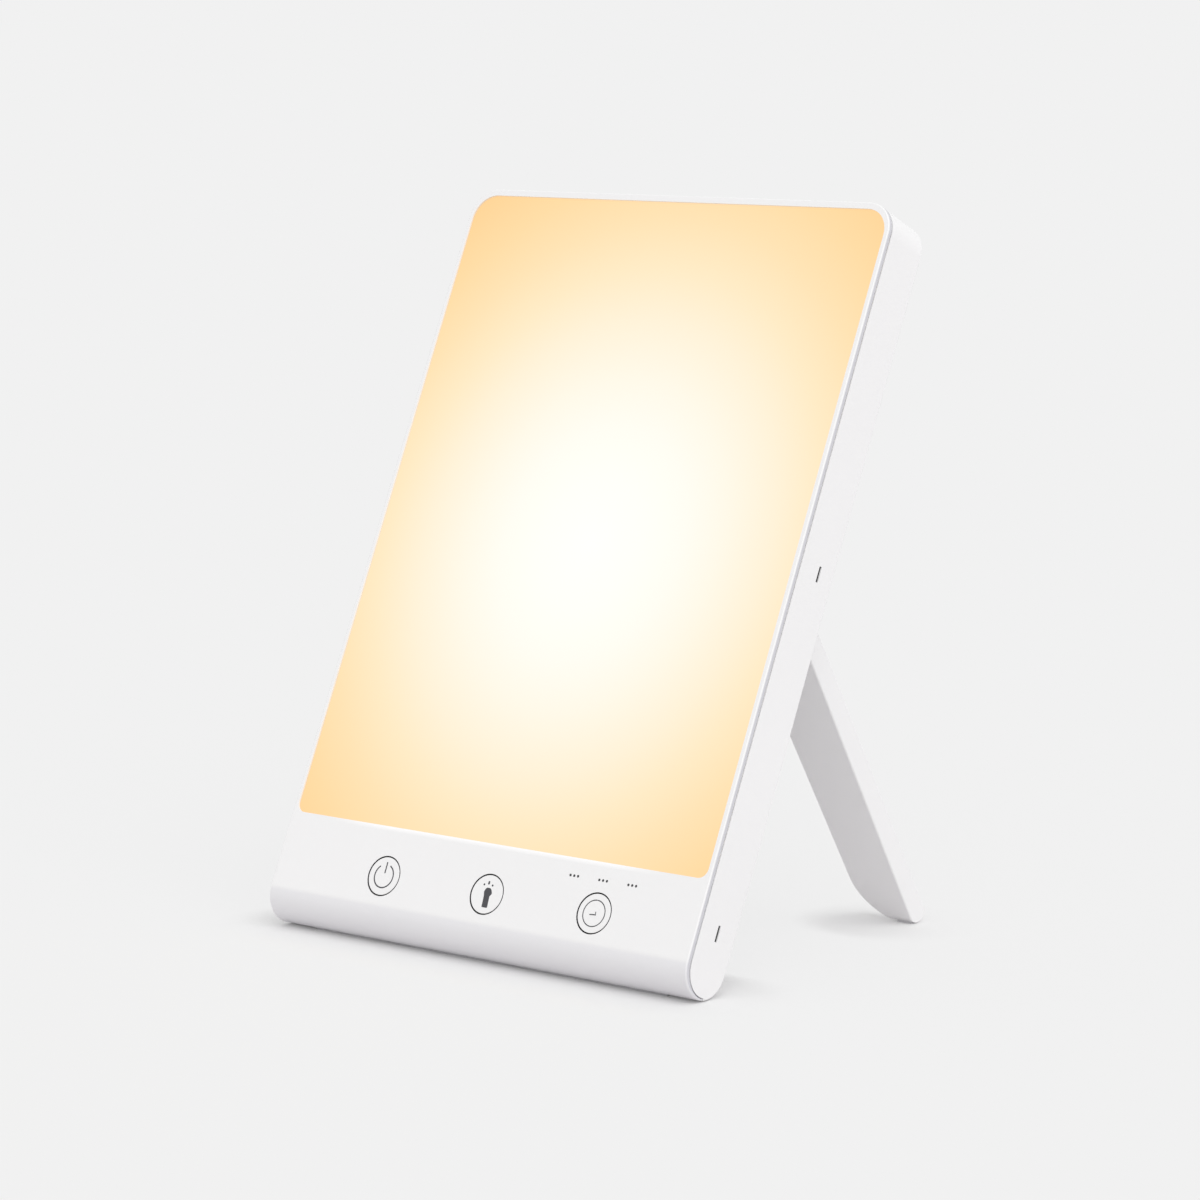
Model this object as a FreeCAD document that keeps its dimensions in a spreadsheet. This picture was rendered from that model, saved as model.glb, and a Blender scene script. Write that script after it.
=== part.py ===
import FreeCAD, Part
import math
import os
import types
import Sketcher

# A light therapy lamp: a slim lit panel in a two-part moulded case that leans
# back on a fold-out stand. Lengths are in mm, angles in degrees.
#
# Row frame: +Z up, +Y from the lit face towards the stand, +X to the right.
# The origin is on the table, in the middle of the rubber strip under the chin.
# Face frame: the same axes tilted back with the case, +Z up along the lit face,
# and its origin in the middle of the round chin.
# Stand frame: its origin is on the hinge axis, and -Z runs down the legs.

DIMENSIONS = [
    ("lamp_width", 155.0, "case, side to side"),
    ("body_depth", 18.0, "case, front to back, and diameter of the round chin"),
    ("face_height", 220.0, "middle of the chin to the top edge"),
    ("tilt_angle", 25.0, "lean of the face, back from upright"),
    ("front_wall", 1.5, "thickness of the front sheet"),
    ("rear_wall", 1.8, "thickness of the back"),
    ("side_wall", 2.0, "thickness of the side and top walls"),
    ("seam_gap", 0.5, "shadow line between front sheet and rear cover"),
    ("seam_depth", 0.9, "depth of that line, where the cover's rim closes it"),
    ("sheet_end_angle", 14.0, "where the sheet's edge runs out, past the bottom of the chin"),
    ("sheet_end_width", 0.4, "that edge, where it runs out"),
    ("seam_end_gap", 0.3, "shadow line there"),
    ("seam_end_angle", 2.0, "shadow line across the end of that edge, as an angle"),
    ("edge_round", 0.4, "rounding of the case's outer edges"),
    ("top_corner_radius", 9.0, "upper corners of the case"),
    ("lip_height", 12.0, "how far the front sheet runs up the back"),
    ("tongue_reach", 4.0, "how far the cover's tongue passes behind the lip"),
    ("tongue_thickness", 1.2, "tongue of the rear cover"),
    ("fit_clearance", 0.15, "side play of the parts that drop into the case"),
    ("slide_clearance", 0.05, "play of parts that slide or turn"),
    ("bezel_side", 1.35, "frame beside the lit panel"),
    ("bezel_top", 2.0, "frame above the lit panel"),
    ("bezel_lip", 0.6, "thickness of the frame in front of the diffuser"),
    ("bezel_ledge", 0.5, "how far the diffuser runs behind the frame"),
    ("window_bottom", 22.4, "lower edge of the lit panel"),
    ("window_low_radius", 3.0, "lower corners of the lit panel"),
    ("diffuser_thickness", 0.9, "opal diffuser"),
    ("film_thickness", 0.25, "prism film, and reflector sheet"),
    ("guide_thickness", 3.0, "light guide"),
    ("guide_air_gap", 0.3, "between the LEDs and the light guide"),
    ("chassis_thickness", 0.8, "aluminium sheet of the chassis"),
    ("chassis_bottom", 20.4, "lower edge of the chassis"),
    ("rail_thickness", 1.2, "strips above and below the light guide"),
    ("rail_inset", 12.0, "end of a strip, in from the case's side"),
    ("led_board_thickness", 0.9, "LED boards"),
    ("led_board_bottom", 3.0, "lower end of the LED boards"),
    ("led_board_top", 208.0, "upper end of the LED boards"),
    ("led_depth", 0.8, "LED package, off its board"),
    ("led_width", 1.6, "LED package, across its board"),
    ("led_length", 3.5, "LED package, along its board"),
    ("led_pitch", 7.5, "from LED to LED"),
    ("led_first", 28.0, "height of the lowest LED"),
    ("button_row_shift", 3.0, "middle button, right of the middle"),
    ("button_pitch", 39.0, "from button to button"),
    ("button_height", 7.9, "button centres, above the chin's middle"),
    ("button_radius", 5.6, "visible cap"),
    ("button_gap", 0.4, "ring-shaped gap round a cap"),
    ("button_flange", 1.2, "how far a cap's flange is wider than the cap"),
    ("flange_thickness", 0.9, "flange behind a cap"),
    ("button_edge", 0.2, "rounding of a cap's rim"),
    ("button_travel", 0.5, "how far a cap can be pressed"),
    ("stem_radius", 1.6, "stem behind a cap"),
    ("switch_size", 6.0, "side of a switch housing"),
    ("switch_height", 3.4, "switch housing, off its board"),
    ("plunger_radius", 1.7, "switch plunger"),
    ("plunger_height", 1.0, "plunger above its housing"),
    ("plunger_hidden", 0.9, "plunger inside its housing"),
    ("board_thickness", 1.6, "control board"),
    ("board_clearance", 2.0, "control board, clear of the case screws' bosses"),
    ("board_screw_inset", 4.0, "outer board screws, in from the board's ends"),
    ("board_bottom", -3.0, "lower edge of the control board"),
    ("board_top", 19.5, "upper edge of the control board"),
    ("board_screw_height", 13.4, "screws of the control board"),
    ("board_boss_radius", 2.4, "bosses under the control board"),
    ("connector_length", 5.0, "lead connectors"),
    ("connector_height", 3.3, "lead connectors, off the board"),
    ("flex_width", 3.0, "flat leads to the LED boards"),
    ("flex_thickness", 0.3, "flat leads"),
    ("indicator_height", 17.3, "row of indicator dots"),
    ("indicator_pitch", 10.3, "from group to group of dots"),
    ("dot_pitch", 1.35, "from dot to dot"),
    ("dot_radius", 0.4, "a dot's hole"),
    ("pipe_width", 1.8, "light pipe block, up and down"),
    ("indicator_led_height", 0.8, "indicator LEDs, off the board"),
    ("slot_width", 1.0, "side slots, front to back"),
    ("slot_length", 4.6, "side slots, up and down"),
    ("upper_slot_height", 113.6, "middle of the upper side slots"),
    ("upper_slot_back", 1.9, "upper side slots, behind the middle of the case"),
    ("lower_slot_height", 9.8, "middle of the lower side slots"),
    ("lower_slot_back", 0.8, "lower side slots, behind the middle of the case"),
    ("inlet_height", 31.0, "power inlet"),
    ("inlet_barrel_radius", 4.0, "outside of the inlet's barrel"),
    ("inlet_bore_radius", 2.8, "bore for a 5.5 mm plug"),
    ("inlet_bore_depth", 9.5, "depth of that bore"),
    ("inlet_pin_radius", 1.0, "centre pin"),
    ("inlet_pin_recess", 1.4, "end of the pin, inside the mouth"),
    ("inlet_box_width", 10.0, "inlet housing"),
    ("inlet_box_height", 11.0, "inlet housing, up and down"),
    ("inlet_floor", 1.9, "housing behind the bore"),
    ("dc_lead_width", 4.0, "flat lead of the inlet"),
    ("dc_lead_thickness", 0.5, "flat lead of the inlet"),
    ("dc_lead_overlap", 5.5, "lead laid on the control board"),
    ("cover_screw_inset", 8.0, "case screws, in from the side"),
    ("cover_screw_height", 16.7, "case screws"),
    ("cover_boss_radius", 3.0, "bosses of the case screws"),
    ("hinge_height", 105.7, "hinge axis, above the chin's middle"),
    ("hinge_standoff", 5.5, "hinge axis, behind the back"),
    ("hinge_inset", 27.7, "middle of an ear, in from the stand's edge"),
    ("ear_radius", 4.5, "ear round the pin"),
    ("ear_width", 6.0, "ear, along the pin"),
    ("plate_width", 19.0, "bracket plate, along the pin"),
    ("plate_thickness", 2.2, "bracket plate"),
    ("plate_low", 5.5, "bracket plate, from the axis to its lower edge"),
    ("plate_high", 18.0, "bracket plate, from the axis to its upper edge"),
    ("plate_screw_height", 12.0, "bracket screws, above the axis"),
    ("plate_screw_spacing", 11.5, "from bracket screw to bracket screw"),
    ("hinge_boss_radius", 3.4, "bosses of the bracket screws"),
    ("pin_radius", 1.5, "hinge pin"),
    ("pin_reach", 8.0, "hinge pin, inwards from the middle of its ear"),
    ("pin_recess", 0.5, "outer end of a pin, inside the stand's edge"),
    ("washer_radius", 4.0, "friction washer"),
    ("washer_thickness", 0.5, "friction washer"),
    ("stand_open_angle", 56.3, "stand, from folded to open"),
    ("stand_half_width", 65.7, "middle to the outer edge of a leg"),
    ("stand_thickness", 7.0, "stand"),
    ("stand_heel", 4.0, "stand above the hinge axis"),
    ("stand_corner_radius", 6.0, "upper corners of the stand"),
    ("stand_edge", 0.5, "rounding of the stand's edges"),
    ("crossbar_depth", 22.0, "hinge axis to the crossbar's lower edge"),
    ("arch_radius", 12.0, "upper corners of the arch"),
    ("leg_top_width", 19.4, "leg under the crossbar"),
    ("foot_curve_radius", 17.0, "curve from the leg's inner edge to its toe"),
    ("toe_flat", 0.7, "straight end of the toe"),
    ("notch_depth", 6.2, "notch for the ear, below the axis"),
    ("pad_proud", 0.3, "rubber below the mouldings"),
    ("pad_seat", 1.0, "rubber let into the mouldings"),
    ("foot_pad_length", 5.0, "rubber foot, side to side"),
    ("foot_pad_width", 3.0, "rubber foot, front to back"),
    ("foot_pad_inset", 3.4, "middle of a rubber foot, in from the leg's edge"),
    ("grip_width", 4.0, "rubber strip under the chin"),
    ("grip_inset", 12.0, "end of the strip, in from the case's side"),
    ("screw_radius", 1.25, "shank of the case and bracket screws"),
    ("screw_head_radius", 2.3, "their heads"),
    ("screw_head_height", 1.2, "their heads"),
    ("cover_screw_length", 10.0, "case screws"),
    ("small_screw_radius", 0.95, "shank of the board screws"),
    ("small_head_radius", 1.9, "their heads"),
    ("small_head_height", 1.2, "their heads"),
    ("small_screw_length", 6.0, "board screws"),
    ("thread_clearance", 0.02, "round a screw's thread or a pressed pin"),
    ("head_clearance", 0.2, "round a screw's head or shank"),
]

BUTTONS = ["power", "torch", "timer"]
LEDS_PER_SIDE = 24
DOTS_PER_GROUP = 3
INDICATOR_GROUPS = 3
TOL = 1e-4

doc = FreeCAD.newDocument("light_therapy_lamp")
nodes = {}


# ---------------------------------------------------------------- the sheet

class Size:
    """A length that is both a number and an expression on the sheet."""

    def __init__(self, value, text):
        self.value = value
        self.text = text

    def __add__(self, other):
        return joined(self, "+", other, lambda a, b: a + b)

    def __radd__(self, other):
        return joined(other, "+", self, lambda a, b: a + b)

    def __sub__(self, other):
        return joined(self, "-", other, lambda a, b: a - b)

    def __rsub__(self, other):
        return joined(other, "-", self, lambda a, b: a - b)

    def __mul__(self, other):
        return joined(self, "*", other, lambda a, b: a * b)

    def __rmul__(self, other):
        return joined(other, "*", self, lambda a, b: a * b)

    def __truediv__(self, other):
        return joined(self, "/", other, lambda a, b: a / b)

    def __neg__(self):
        return Size(-self.value, "(-" + self.text + ")")


def as_size(thing):
    if isinstance(thing, Size):
        return thing
    return Size(float(thing), "(%.6f)" % thing)


def joined(left, sign, right, work):
    left = as_size(left)
    right = as_size(right)
    return Size(work(left.value, right.value), "(%s %s %s)" % (left.text, sign, right.text))


def sine(angle):
    return Size(math.sin(math.radians(angle.value)), "sin(" + angle.text + ")")


def cosine(angle):
    return Size(math.cos(math.radians(angle.value)), "cos(" + angle.text + ")")


def fill_sheet():
    sheet = doc.addObject("Spreadsheet::Sheet", "dims")
    sizes = {}
    for row, (alias, value, note) in enumerate(DIMENSIONS, start=1):
        sheet.set("A%d" % row, note)
        sheet.set("B%d" % row, str(value))
        sheet.setAlias("B%d" % row, alias)
        sizes[alias] = Size(value, "dims." + alias)
    doc.recompute()
    return types.SimpleNamespace(**sizes)


size = fill_sheet()


# ------------------------------------------------------- places in the frames

def place(x=0, y=0, z=0, turn_about="1; 0; 0", turn=0):
    """The expression of a placement: a point, and a turn about an axis."""
    x, y, z, turn = as_size(x), as_size(y), as_size(z), as_size(turn)
    point = "vector(%s; %s; %s)" % (x.text, y.text, z.text)
    return "placement(%s; rotation(vector(%s); %s))" % (point, turn_about, turn.text)


half_width = size.lamp_width / 2
half_depth = size.body_depth / 2
chin_lift = half_depth + size.pad_proud
hinge_y = half_depth + size.hinge_standoff
hinge_x = size.stand_half_width - size.hinge_inset
foot_radius = size.stand_thickness / 2
leg_slope = size.stand_open_angle - size.tilt_angle

# The legs are as long as it takes to reach the table at the open angle.
hinge_above_table = (chin_lift + size.hinge_height * cosine(size.tilt_angle)
                     - hinge_y * sine(size.tilt_angle))
hinge_behind_chin = (size.hinge_height * sine(size.tilt_angle)
                     + hinge_y * cosine(size.tilt_angle))
leg_reach = (hinge_above_table - foot_radius - size.pad_proud) / cosine(leg_slope)
foot_behind_chin = hinge_behind_chin + leg_reach * sine(leg_slope)

ROW_FRAME = place()
FACE_FRAME = place(z=chin_lift, turn=-size.tilt_angle)
STAND_FRAME = FACE_FRAME + " * " + place(y=hinge_y, z=size.hinge_height,
                                         turn=size.stand_open_angle)

# Depths in the face frame, from the front inwards.
face_y = -half_depth
face_inside = face_y + size.front_wall
diffuser_front = face_y + size.bezel_lip
film_front = diffuser_front + size.diffuser_thickness
guide_front = film_front + size.film_thickness
reflector_front = guide_front + size.guide_thickness
chassis_front = reflector_front + size.film_thickness
chassis_back = chassis_front + size.chassis_thickness
cover_front = face_inside + size.seam_gap
rim_front = face_inside + size.slide_clearance
cover_inside = half_depth - size.rear_wall
board_front = -size.board_thickness / 2
board_back = size.board_thickness / 2
switch_front = board_front - size.switch_height
plunger_top = switch_front - size.plunger_height

# Heights and widths in the face frame.
window_top = size.face_height - size.bezel_top
window_half = half_width - size.bezel_side
window_top_radius = size.top_corner_radius - size.bezel_side
cover_bottom = size.lip_height + size.seam_gap
end_top = cover_bottom + size.side_wall
cover_inner_half = half_width - size.side_wall
cover_inner_top = size.face_height - size.side_wall
chassis_half = cover_inner_half - size.fit_clearance
chassis_top = cover_inner_top - 2 * size.fit_clearance
flange_inner_half = chassis_half - size.chassis_thickness
led_board_half = flange_inner_half - size.led_board_thickness
led_face_half = led_board_half - size.led_depth
guide_half = led_face_half - size.guide_air_gap
guide_bottom = size.chassis_bottom + size.chassis_thickness + size.rail_thickness
guide_top = chassis_top - size.rail_thickness
inner_corner_radius = size.top_corner_radius - size.side_wall

button_x = [size.button_row_shift + (k - 1) * size.button_pitch for k in range(3)]
indicator_x = [button_x[2] + (k - 1) * size.indicator_pitch for k in range(INDICATOR_GROUPS)]
cover_screw_x = half_width - size.cover_screw_inset
board_half = cover_screw_x - size.cover_boss_radius - size.board_clearance
board_screw_x = [size.board_screw_inset - board_half, button_x[0] + size.button_pitch / 2,
                 button_x[1] + size.button_pitch / 2, board_half - size.board_screw_inset]
plate_screw_z = size.hinge_height + size.plate_screw_height


# ------------------------------------------------------------ building blocks

PLANES = {"XY": ("XY_Plane", 1), "XZ": ("XZ_Plane", -1), "YZ": ("YZ_Plane", 1)}
normal_sign = {}


def new_body(label, frame):
    body = doc.addObject("PartDesign::Body", label)
    body.Label = label
    body.setExpression("Placement", frame)
    return body


def new_sketch(body, plane, level=0, shift=(0, 0), turn=0):
    """A sketch on an origin plane, moved to a level along that plane's own axis."""
    role, sign = PLANES[plane]
    sketch = body.newObject("Sketcher::SketchObject", body.Label + "_sketch")
    support = [f for f in body.Origin.OriginFeatures if f.Role == role][0]
    sketch.AttachmentSupport = [(support, "")]
    sketch.MapMode = "FlatFace"
    offset = place(shift[0], shift[1], sign * as_size(level), "0; 0; 1", turn)
    sketch.setExpression("AttachmentOffset", offset)
    normal_sign[sketch.Name] = sign
    return sketch


def bind_point(sketch, shape, end, x, y):
    """Ties a point of a sketch's shape to two sizes, counted from its origin."""
    for kind, length in (("DistanceX", as_size(x)), ("DistanceY", as_size(y))):
        index = sketch.addConstraint(Sketcher.Constraint(kind, -1, 1, shape, end, length.value))
        sketch.setExpression("Constraints[%d]" % index, length.text)


def circle(sketch, x, y, radius):
    x, y, radius = as_size(x), as_size(y), as_size(radius)
    centre = FreeCAD.Vector(x.value, y.value, 0)
    shape = sketch.addGeometry(Part.Circle(centre, FreeCAD.Vector(0, 0, 1), radius.value))
    bind_point(sketch, shape, 3, x, y)
    index = sketch.addConstraint(Sketcher.Constraint("Radius", shape, radius.value))
    sketch.setExpression("Constraints[%d]" % index, radius.text)


def arc_centre(start, end, known, value):
    """The centre of an arc between two points, from one of its coordinates."""
    middle = (start + end) * 0.5
    along = end - start
    if known == "x":
        return FreeCAD.Vector(value, middle.y - (value - middle.x) * along.x / along.y, 0)
    return FreeCAD.Vector(middle.x - (value - middle.y) * along.y / along.x, value, 0)


def outline(sketch, corners):
    """A closed outline. A corner is (x, y), or (x, y, turn, axis, value) where an
    arc runs on from it: turn is "left" or "right", and axis and value give one
    coordinate of the arc's centre."""
    points = []
    for corner in corners:
        points.append(FreeCAD.Vector(as_size(corner[0]).value, as_size(corner[1]).value, 0))
    shapes = []
    for k, corner in enumerate(corners):
        start, end = points[k], points[(k + 1) % len(points)]
        if len(corner) == 2:
            shapes.append((sketch.addGeometry(Part.LineSegment(start, end)), 1, 2))
            continue
        turn, axis, value = corner[2], corner[3], as_size(corner[4])
        centre = arc_centre(start, end, axis, value.value)
        ring = Part.Circle(centre, FreeCAD.Vector(0, 0, 1), (start - centre).Length)
        first, last = (start, end) if turn == "left" else (end, start)
        arc = Part.ArcOfCircle(ring, ring.parameter(first), ring.parameter(last))
        ends = (1, 2) if turn == "left" else (2, 1)
        shapes.append((sketch.addGeometry(arc), ends[0], ends[1]))
        kind = "DistanceX" if axis == "x" else "DistanceY"
        constraint = Sketcher.Constraint(kind, -1, 1, shapes[-1][0], 3, value.value)
        index = sketch.addConstraint(constraint)
        sketch.setExpression("Constraints[%d]" % index, value.text)
    for k, corner in enumerate(corners):
        before = shapes[k - 1]
        here = shapes[k]
        sketch.addConstraint(Sketcher.Constraint("Coincident", before[0], before[2],
                                                 here[0], here[1]))
        bind_point(sketch, here[0], here[1], corner[0], corner[1])


def rectangle(sketch, left, right, low, high):
    outline(sketch, [(left, low), (right, low), (right, high), (left, high)])


def rounded_rectangle(sketch, half, low, high, high_radius, low_radius=None):
    """An outline that is symmetric about x = 0, with rounded upper corners, and
    rounded lower ones where low_radius is given."""
    corners = [(-half, high - high_radius, "right", "x", -half + high_radius),
               (-half + high_radius, high),
               (half - high_radius, high, "right", "x", half - high_radius),
               (half, high - high_radius)]
    if low_radius is None:
        corners += [(half, low), (-half, low)]
    else:
        corners += [(half, low + low_radius, "right", "x", half - low_radius),
                    (half - low_radius, low),
                    (-half + low_radius, low, "right", "x", -half + low_radius),
                    (-half, low + low_radius)]
    outline(sketch, corners)


def extrude(kind, sketch, length, direction):
    """Pads or pockets a sketch: direction is +1 or -1 along its plane's axis, or 0
    for half of the length each way."""
    body = sketch.getParentGeoFeatureGroup()
    feature = body.newObject("PartDesign::" + kind, sketch.Name + "_" + kind.lower())
    feature.Profile = sketch
    feature.setExpression("Length", as_size(length).text)
    if direction == 0:
        feature.Midplane = True
    else:
        along_normal = normal_sign[sketch.Name] * direction > 0
        feature.Reversed = along_normal if kind == "Pocket" else not along_normal
    return feature


def pad(sketch, length, direction=1):
    return extrude("Pad", sketch, length, direction)


def pocket(sketch, length, direction=1):
    return extrude("Pocket", sketch, length, direction)


def fillet(body, radius, chosen):
    """Rounds the edges of a body that the function chosen picks."""
    doc.recompute()
    base = body.Tip
    names = []
    for k, edge in enumerate(base.Shape.Edges, start=1):
        if chosen(edge.BoundBox, edge):
            names.append("Edge%d" % k)
    feature = body.newObject("PartDesign::Fillet", body.Label + "_fillet")
    feature.Base = (base, names)
    feature.setExpression("Radius", as_size(radius).text)
    return feature


def block(label, frame, x, y, z):
    """A Part::Box between two sizes along each axis of a frame."""
    box = doc.addObject("Part::Box", label)
    box.Label = label
    for side, (low, high) in (("Length", x), ("Width", y), ("Height", z)):
        box.setExpression(side, (as_size(high) - low).text)
    box.setExpression("Placement", frame + " * " + place(x[0], y[0], z[0]))
    return box


def rod(label, frame, axis, low, high, centre, radius):
    """A Part::Cylinder along X or Y of a frame, between two sizes on that axis."""
    cylinder = doc.addObject("Part::Cylinder", label)
    cylinder.Label = label
    cylinder.setExpression("Radius", as_size(radius).text)
    cylinder.setExpression("Height", (as_size(high) - low).text)
    if axis == "X":
        spot = place(low, centre[0], centre[1], "0; 1; 0", 90)
    else:
        spot = place(centre[0], low, centre[1], "1; 0; 0", -90)
    cylinder.setExpression("Placement", frame + " * " + spot)
    return cylinder


def cut(label, base, tool):
    result = doc.addObject("Part::Cut", label)
    result.Label = label
    result.Base = base
    result.Tool = tool
    return result


def fuse(label, members):
    result = doc.addObject("Part::MultiFuse", label)
    result.Label = label
    result.Shapes = members
    return result


def group(label, members):
    """Several separate solids that share one node."""
    result = doc.addObject("Part::Compound", label)
    result.Label = label
    result.Links = members
    return result


def screw(label, x, z, head_y, length, kind):
    """A cross-recessed screw along Y of the face frame, its head to the back."""
    shank, head, height = kind
    under_head = head_y - height
    recess = height * 0.6
    arm = head * 0.6
    slit = head * 0.15
    solid = fuse(label + "_blank", [
        rod(label + "_shank", FACE_FRAME, "Y", head_y - length, under_head, (x, z), shank),
        rod(label + "_head", FACE_FRAME, "Y", under_head, head_y, (x, z), head)])
    cross = fuse(label + "_cross", [
        block(label + "_cross_a", FACE_FRAME, (x - arm, x + arm), (head_y - recess, head_y + 1),
              (z - slit, z + slit)),
        block(label + "_cross_b", FACE_FRAME, (x - slit, x + slit), (head_y - recess, head_y + 1),
              (z - arm, z + arm))])
    return cut(label, solid, cross)


LARGE_SCREW = (size.screw_radius, size.screw_head_radius, size.screw_head_height)
SMALL_SCREW = (size.small_screw_radius, size.small_head_radius, size.small_head_height)


# ------------------------------------------------------------------ the case

def is_on(value, wanted):
    return abs(value - wanted.value) < TOL


def make_front_shell():
    """One moulded sheet: the face, the frame round the panel, the round chin and
    the lip at the back, with the bosses for the control board and the cover."""
    body = new_body("front_shell", FACE_FRAME)
    wall = size.front_wall
    profile = new_sketch(body, "YZ")
    outline(profile, [
        (face_y, size.face_height),
        (face_y, 0, "left", "y", 0),
        (half_depth, 0),
        (half_depth, size.lip_height),
        (half_depth - wall, size.lip_height),
        (half_depth - wall, 0, "right", "y", 0),
        (face_inside, 0),
        (face_inside, size.face_height)])
    pad(profile, size.lamp_width, 0)
    fillet(body, size.top_corner_radius,
           lambda box, edge: box.XLength < TOL and box.ZLength < TOL
           and is_on(abs(box.XMin), half_width) and is_on(box.ZMin, size.face_height))
    fillet(body, size.edge_round, is_outer_sheet_edge)
    for side in (-1, 1):
        end_seat = new_sketch(body, "YZ", side * half_width)
        tip_y, tip_z = on_chin(half_depth - size.sheet_end_width, size.sheet_end_angle)
        outline(end_seat, [
            (face_inside, end_top),
            (face_inside, 0, "left", "y", 0),
            (tip_y, tip_z),
            (tip_y, -size.body_depth),
            (size.body_depth, -size.body_depth),
            (size.body_depth, end_top)])
        pocket(end_seat, size.seam_depth + size.slide_clearance, -side)

    seat = new_sketch(body, "XZ", face_inside)
    rounded_rectangle(seat, window_half + size.bezel_ledge, size.window_bottom - size.bezel_ledge,
                      window_top + size.bezel_ledge, window_top_radius + size.bezel_ledge,
                      size.window_low_radius + size.bezel_ledge)
    pocket(seat, wall - size.bezel_lip, -1)
    window = new_sketch(body, "XZ", face_y)
    rounded_rectangle(window, window_half, size.window_bottom, window_top, window_top_radius,
                      size.window_low_radius)
    pocket(window, wall)

    holes = new_sketch(body, "XZ", face_y)
    for x in button_x:
        circle(holes, x, size.button_height, size.button_radius + size.button_gap)
    for x in indicator_x:
        for k in range(DOTS_PER_GROUP):
            circle(holes, x + (k - 1) * size.dot_pitch, size.indicator_height, size.dot_radius)
    pocket(holes, 2 * wall)

    board_bosses = new_sketch(body, "XZ", face_inside)
    cover_bosses = new_sketch(body, "XZ", face_inside)
    for x in board_screw_x:
        circle(board_bosses, x, size.board_screw_height, size.board_boss_radius)
    for x in (-cover_screw_x, cover_screw_x):
        circle(cover_bosses, x, size.cover_screw_height, size.cover_boss_radius)
    pad(board_bosses, board_front - face_inside)
    pad(cover_bosses, cover_inside - face_inside)
    board_pilots = new_sketch(body, "XZ", board_front)
    cover_pilots = new_sketch(body, "XZ", cover_inside)
    for x in board_screw_x:
        circle(board_pilots, x, size.board_screw_height,
               size.small_screw_radius + size.thread_clearance)
    for x in (-cover_screw_x, cover_screw_x):
        circle(cover_pilots, x, size.cover_screw_height,
               size.screw_radius + size.thread_clearance)
    pocket(board_pilots, size.small_screw_length - size.board_thickness, -1)
    pocket(cover_pilots, size.cover_screw_length, -1)

    groove = new_sketch(body, "YZ", 0, turn=size.tilt_angle)
    rectangle(groove, -size.grip_width / 2 - size.slide_clearance,
              size.grip_width / 2 + size.slide_clearance,
              -2 * half_depth, size.pad_seat - half_depth)
    pocket(groove, 2 * (half_width - size.grip_inset + size.slide_clearance), 0)
    return body


def is_outer_sheet_edge(box, edge):
    """The rim of the front sheet: round the face, down along the chin and up the lip."""
    on_side = box.XLength < TOL and is_on(abs(box.XMin), half_width)
    on_face = box.YLength < TOL and is_on(box.YMin, face_y)
    if on_face:
        return box.ZLength > TOL or is_on(box.ZMin, size.face_height)
    if on_side and hasattr(edge.Curve, "Radius"):
        return is_on(edge.Curve.Radius, half_depth)
    return on_side and is_on(box.YMin, half_depth) and box.YLength < TOL


def on_chin(radius, angle):
    """A point round the chin, at an angle past its bottom towards the back."""
    return radius * sine(angle), -radius * cosine(angle)


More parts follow.
